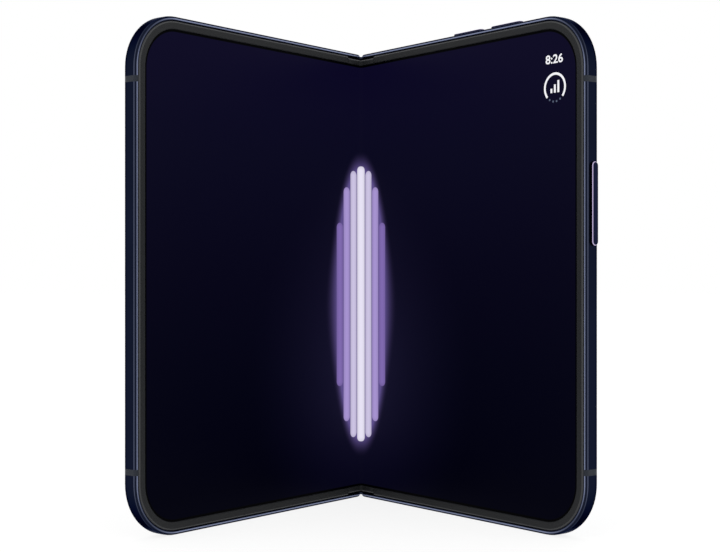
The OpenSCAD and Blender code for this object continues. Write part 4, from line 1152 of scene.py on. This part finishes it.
# %% [markdown]
# ## Light and floor
# Soft lamps left, right, in front, overhead and behind shape the dull surfaces. They stand well
# away and are large, so their light has no hard edge. The metal and glass don't mirror them, or
# their outlines would cut across the phone.

# %% Lamps
AIM = (0, 0, 0.06)
for name, place, size, watts in (("left_softbox", (-0.75, -0.4, 0.45), (0.8, 0.8), 2.4),
                                 ("right_softbox", (0.75, -0.4, 0.45), (0.8, 0.8), 2.4),
                                 ("front_softbox", (0, -0.9, 0.6), (1.4, 0.9), 4.5),
                                 ("top_softbox", (0, 0.05, 0.75), (0.8, 0.5), 2.0),
                                 ("rear_softbox", (0.1, 0.9, 0.5), (1.4, 1.0), 5.0)):
    lamp = bpy.data.lights.new(name, "AREA")
    lamp.shape, lamp.size, lamp.size_y = "RECTANGLE", size[0], size[1]
    lamp.energy = watts
    stand = bpy.data.objects.new(name, lamp)
    stand.location = place
    stand.rotation_euler = (Vector(AIM) - Vector(place)).to_track_quat("-Z", "Y").to_euler()
    stand.visible_glossy = False
    bpy.context.scene.collection.objects.link(stand)
    print(name, watts, "W")

# %% [markdown]
# Small, dark and glossy things are lit by what they reflect, here a white room: the world is white
# where we, a mirror or glass look at it, and gives a plain level of light besides. The kind of ray
# tells the two apart.

# %% World
ROOM_LEVEL = 0.5


def looked_at(tree, kinds):
    """One for rays of these kinds, and nought for all others."""
    rays = add(tree, "ShaderNodeLightPath")
    seen = rays.outputs[kinds[0]]
    for kind in kinds[1:]:
        seen = add(tree, "ShaderNodeMath", {0: seen, 1: rays.outputs[kind]},
                   operation="MAXIMUM").outputs[0]
    return seen


world = bpy.data.worlds.new("studio")
bpy.context.scene.world = world
world.use_nodes = True
tree = world.node_tree
seen = looked_at(tree, ("Is Camera Ray", "Is Glossy Ray", "Is Transmission Ray"))
level = add(tree, "ShaderNodeMapRange", {"Value": seen, "To Min": ROOM_LEVEL, "To Max": 1.0})
backing = tree.nodes["Background"]
backing.inputs["Color"].default_value = (1, 1, 1, 1)
tree.links.new(level.outputs["Result"], backing.inputs["Strength"])
print("room light", ROOM_LEVEL, "of white")

# %% [markdown]
# The floor is a plain pale sheet. Seen by the camera it is mostly its own white, so it meets the
# backdrop without a line, and a share of ordinary diffuse white near the phone lets the phone's
# shadow show on it.

# %% Floor
OWN_WHITE, PAPER_GRAIN = 1.04, 3
SHADOW_NEAR, SHADOW_FAR, NEAR_SHARE = 0.12, 0.4, 0.8
FLOOR_HALF = 4
floor_paper, tree, paper = surface("floor_paper", {"Roughness": 0.9, "Specular IOR Level": 0.1})
wander(tree, paper.inputs["Base Color"], "#ececec", "#f2f2f2", PAPER_GRAIN)
white = add(tree, "ShaderNodeEmission", {"Color": (1, 1, 1, 1), "Strength": OWN_WHITE})
place = add(tree, "ShaderNodeTexCoord").outputs["Object"]
away = add(tree, "ShaderNodeVectorMath", {0: place}, operation="LENGTH")
share = add(tree, "ShaderNodeMapRange", {"Value": away.outputs["Value"],
                                         "From Min": SHADOW_NEAR, "From Max": SHADOW_FAR,
                                         "To Min": NEAR_SHARE, "To Max": 1.0})
share = add(tree, "ShaderNodeMath", {0: looked_at(tree, ("Is Camera Ray", "Is Glossy Ray")),
                                     1: share.outputs["Result"]}, operation="MULTIPLY")
sheet = add(tree, "ShaderNodeMixShader", {"Fac": share.outputs[0], 1: paper.outputs["BSDF"],
                                          2: white.outputs["Emission"]})
tree.links.new(sheet.outputs["Shader"], tree.nodes["Material Output"].inputs["Surface"])
floor_mesh = bpy.data.meshes.new("floor")
floor_mesh.from_pydata([(x * FLOOR_HALF, y * FLOOR_HALF, 0)
                        for x, y in ((-1, -1), (1, -1), (1, 1), (-1, 1))], [], [(0, 1, 2, 3)])
floor_mesh.materials.append(floor_paper)
floor = bpy.data.objects.new("floor", floor_mesh)
bpy.context.scene.collection.objects.link(floor)
print("floor", 2 * FLOOR_HALF, "m wide")
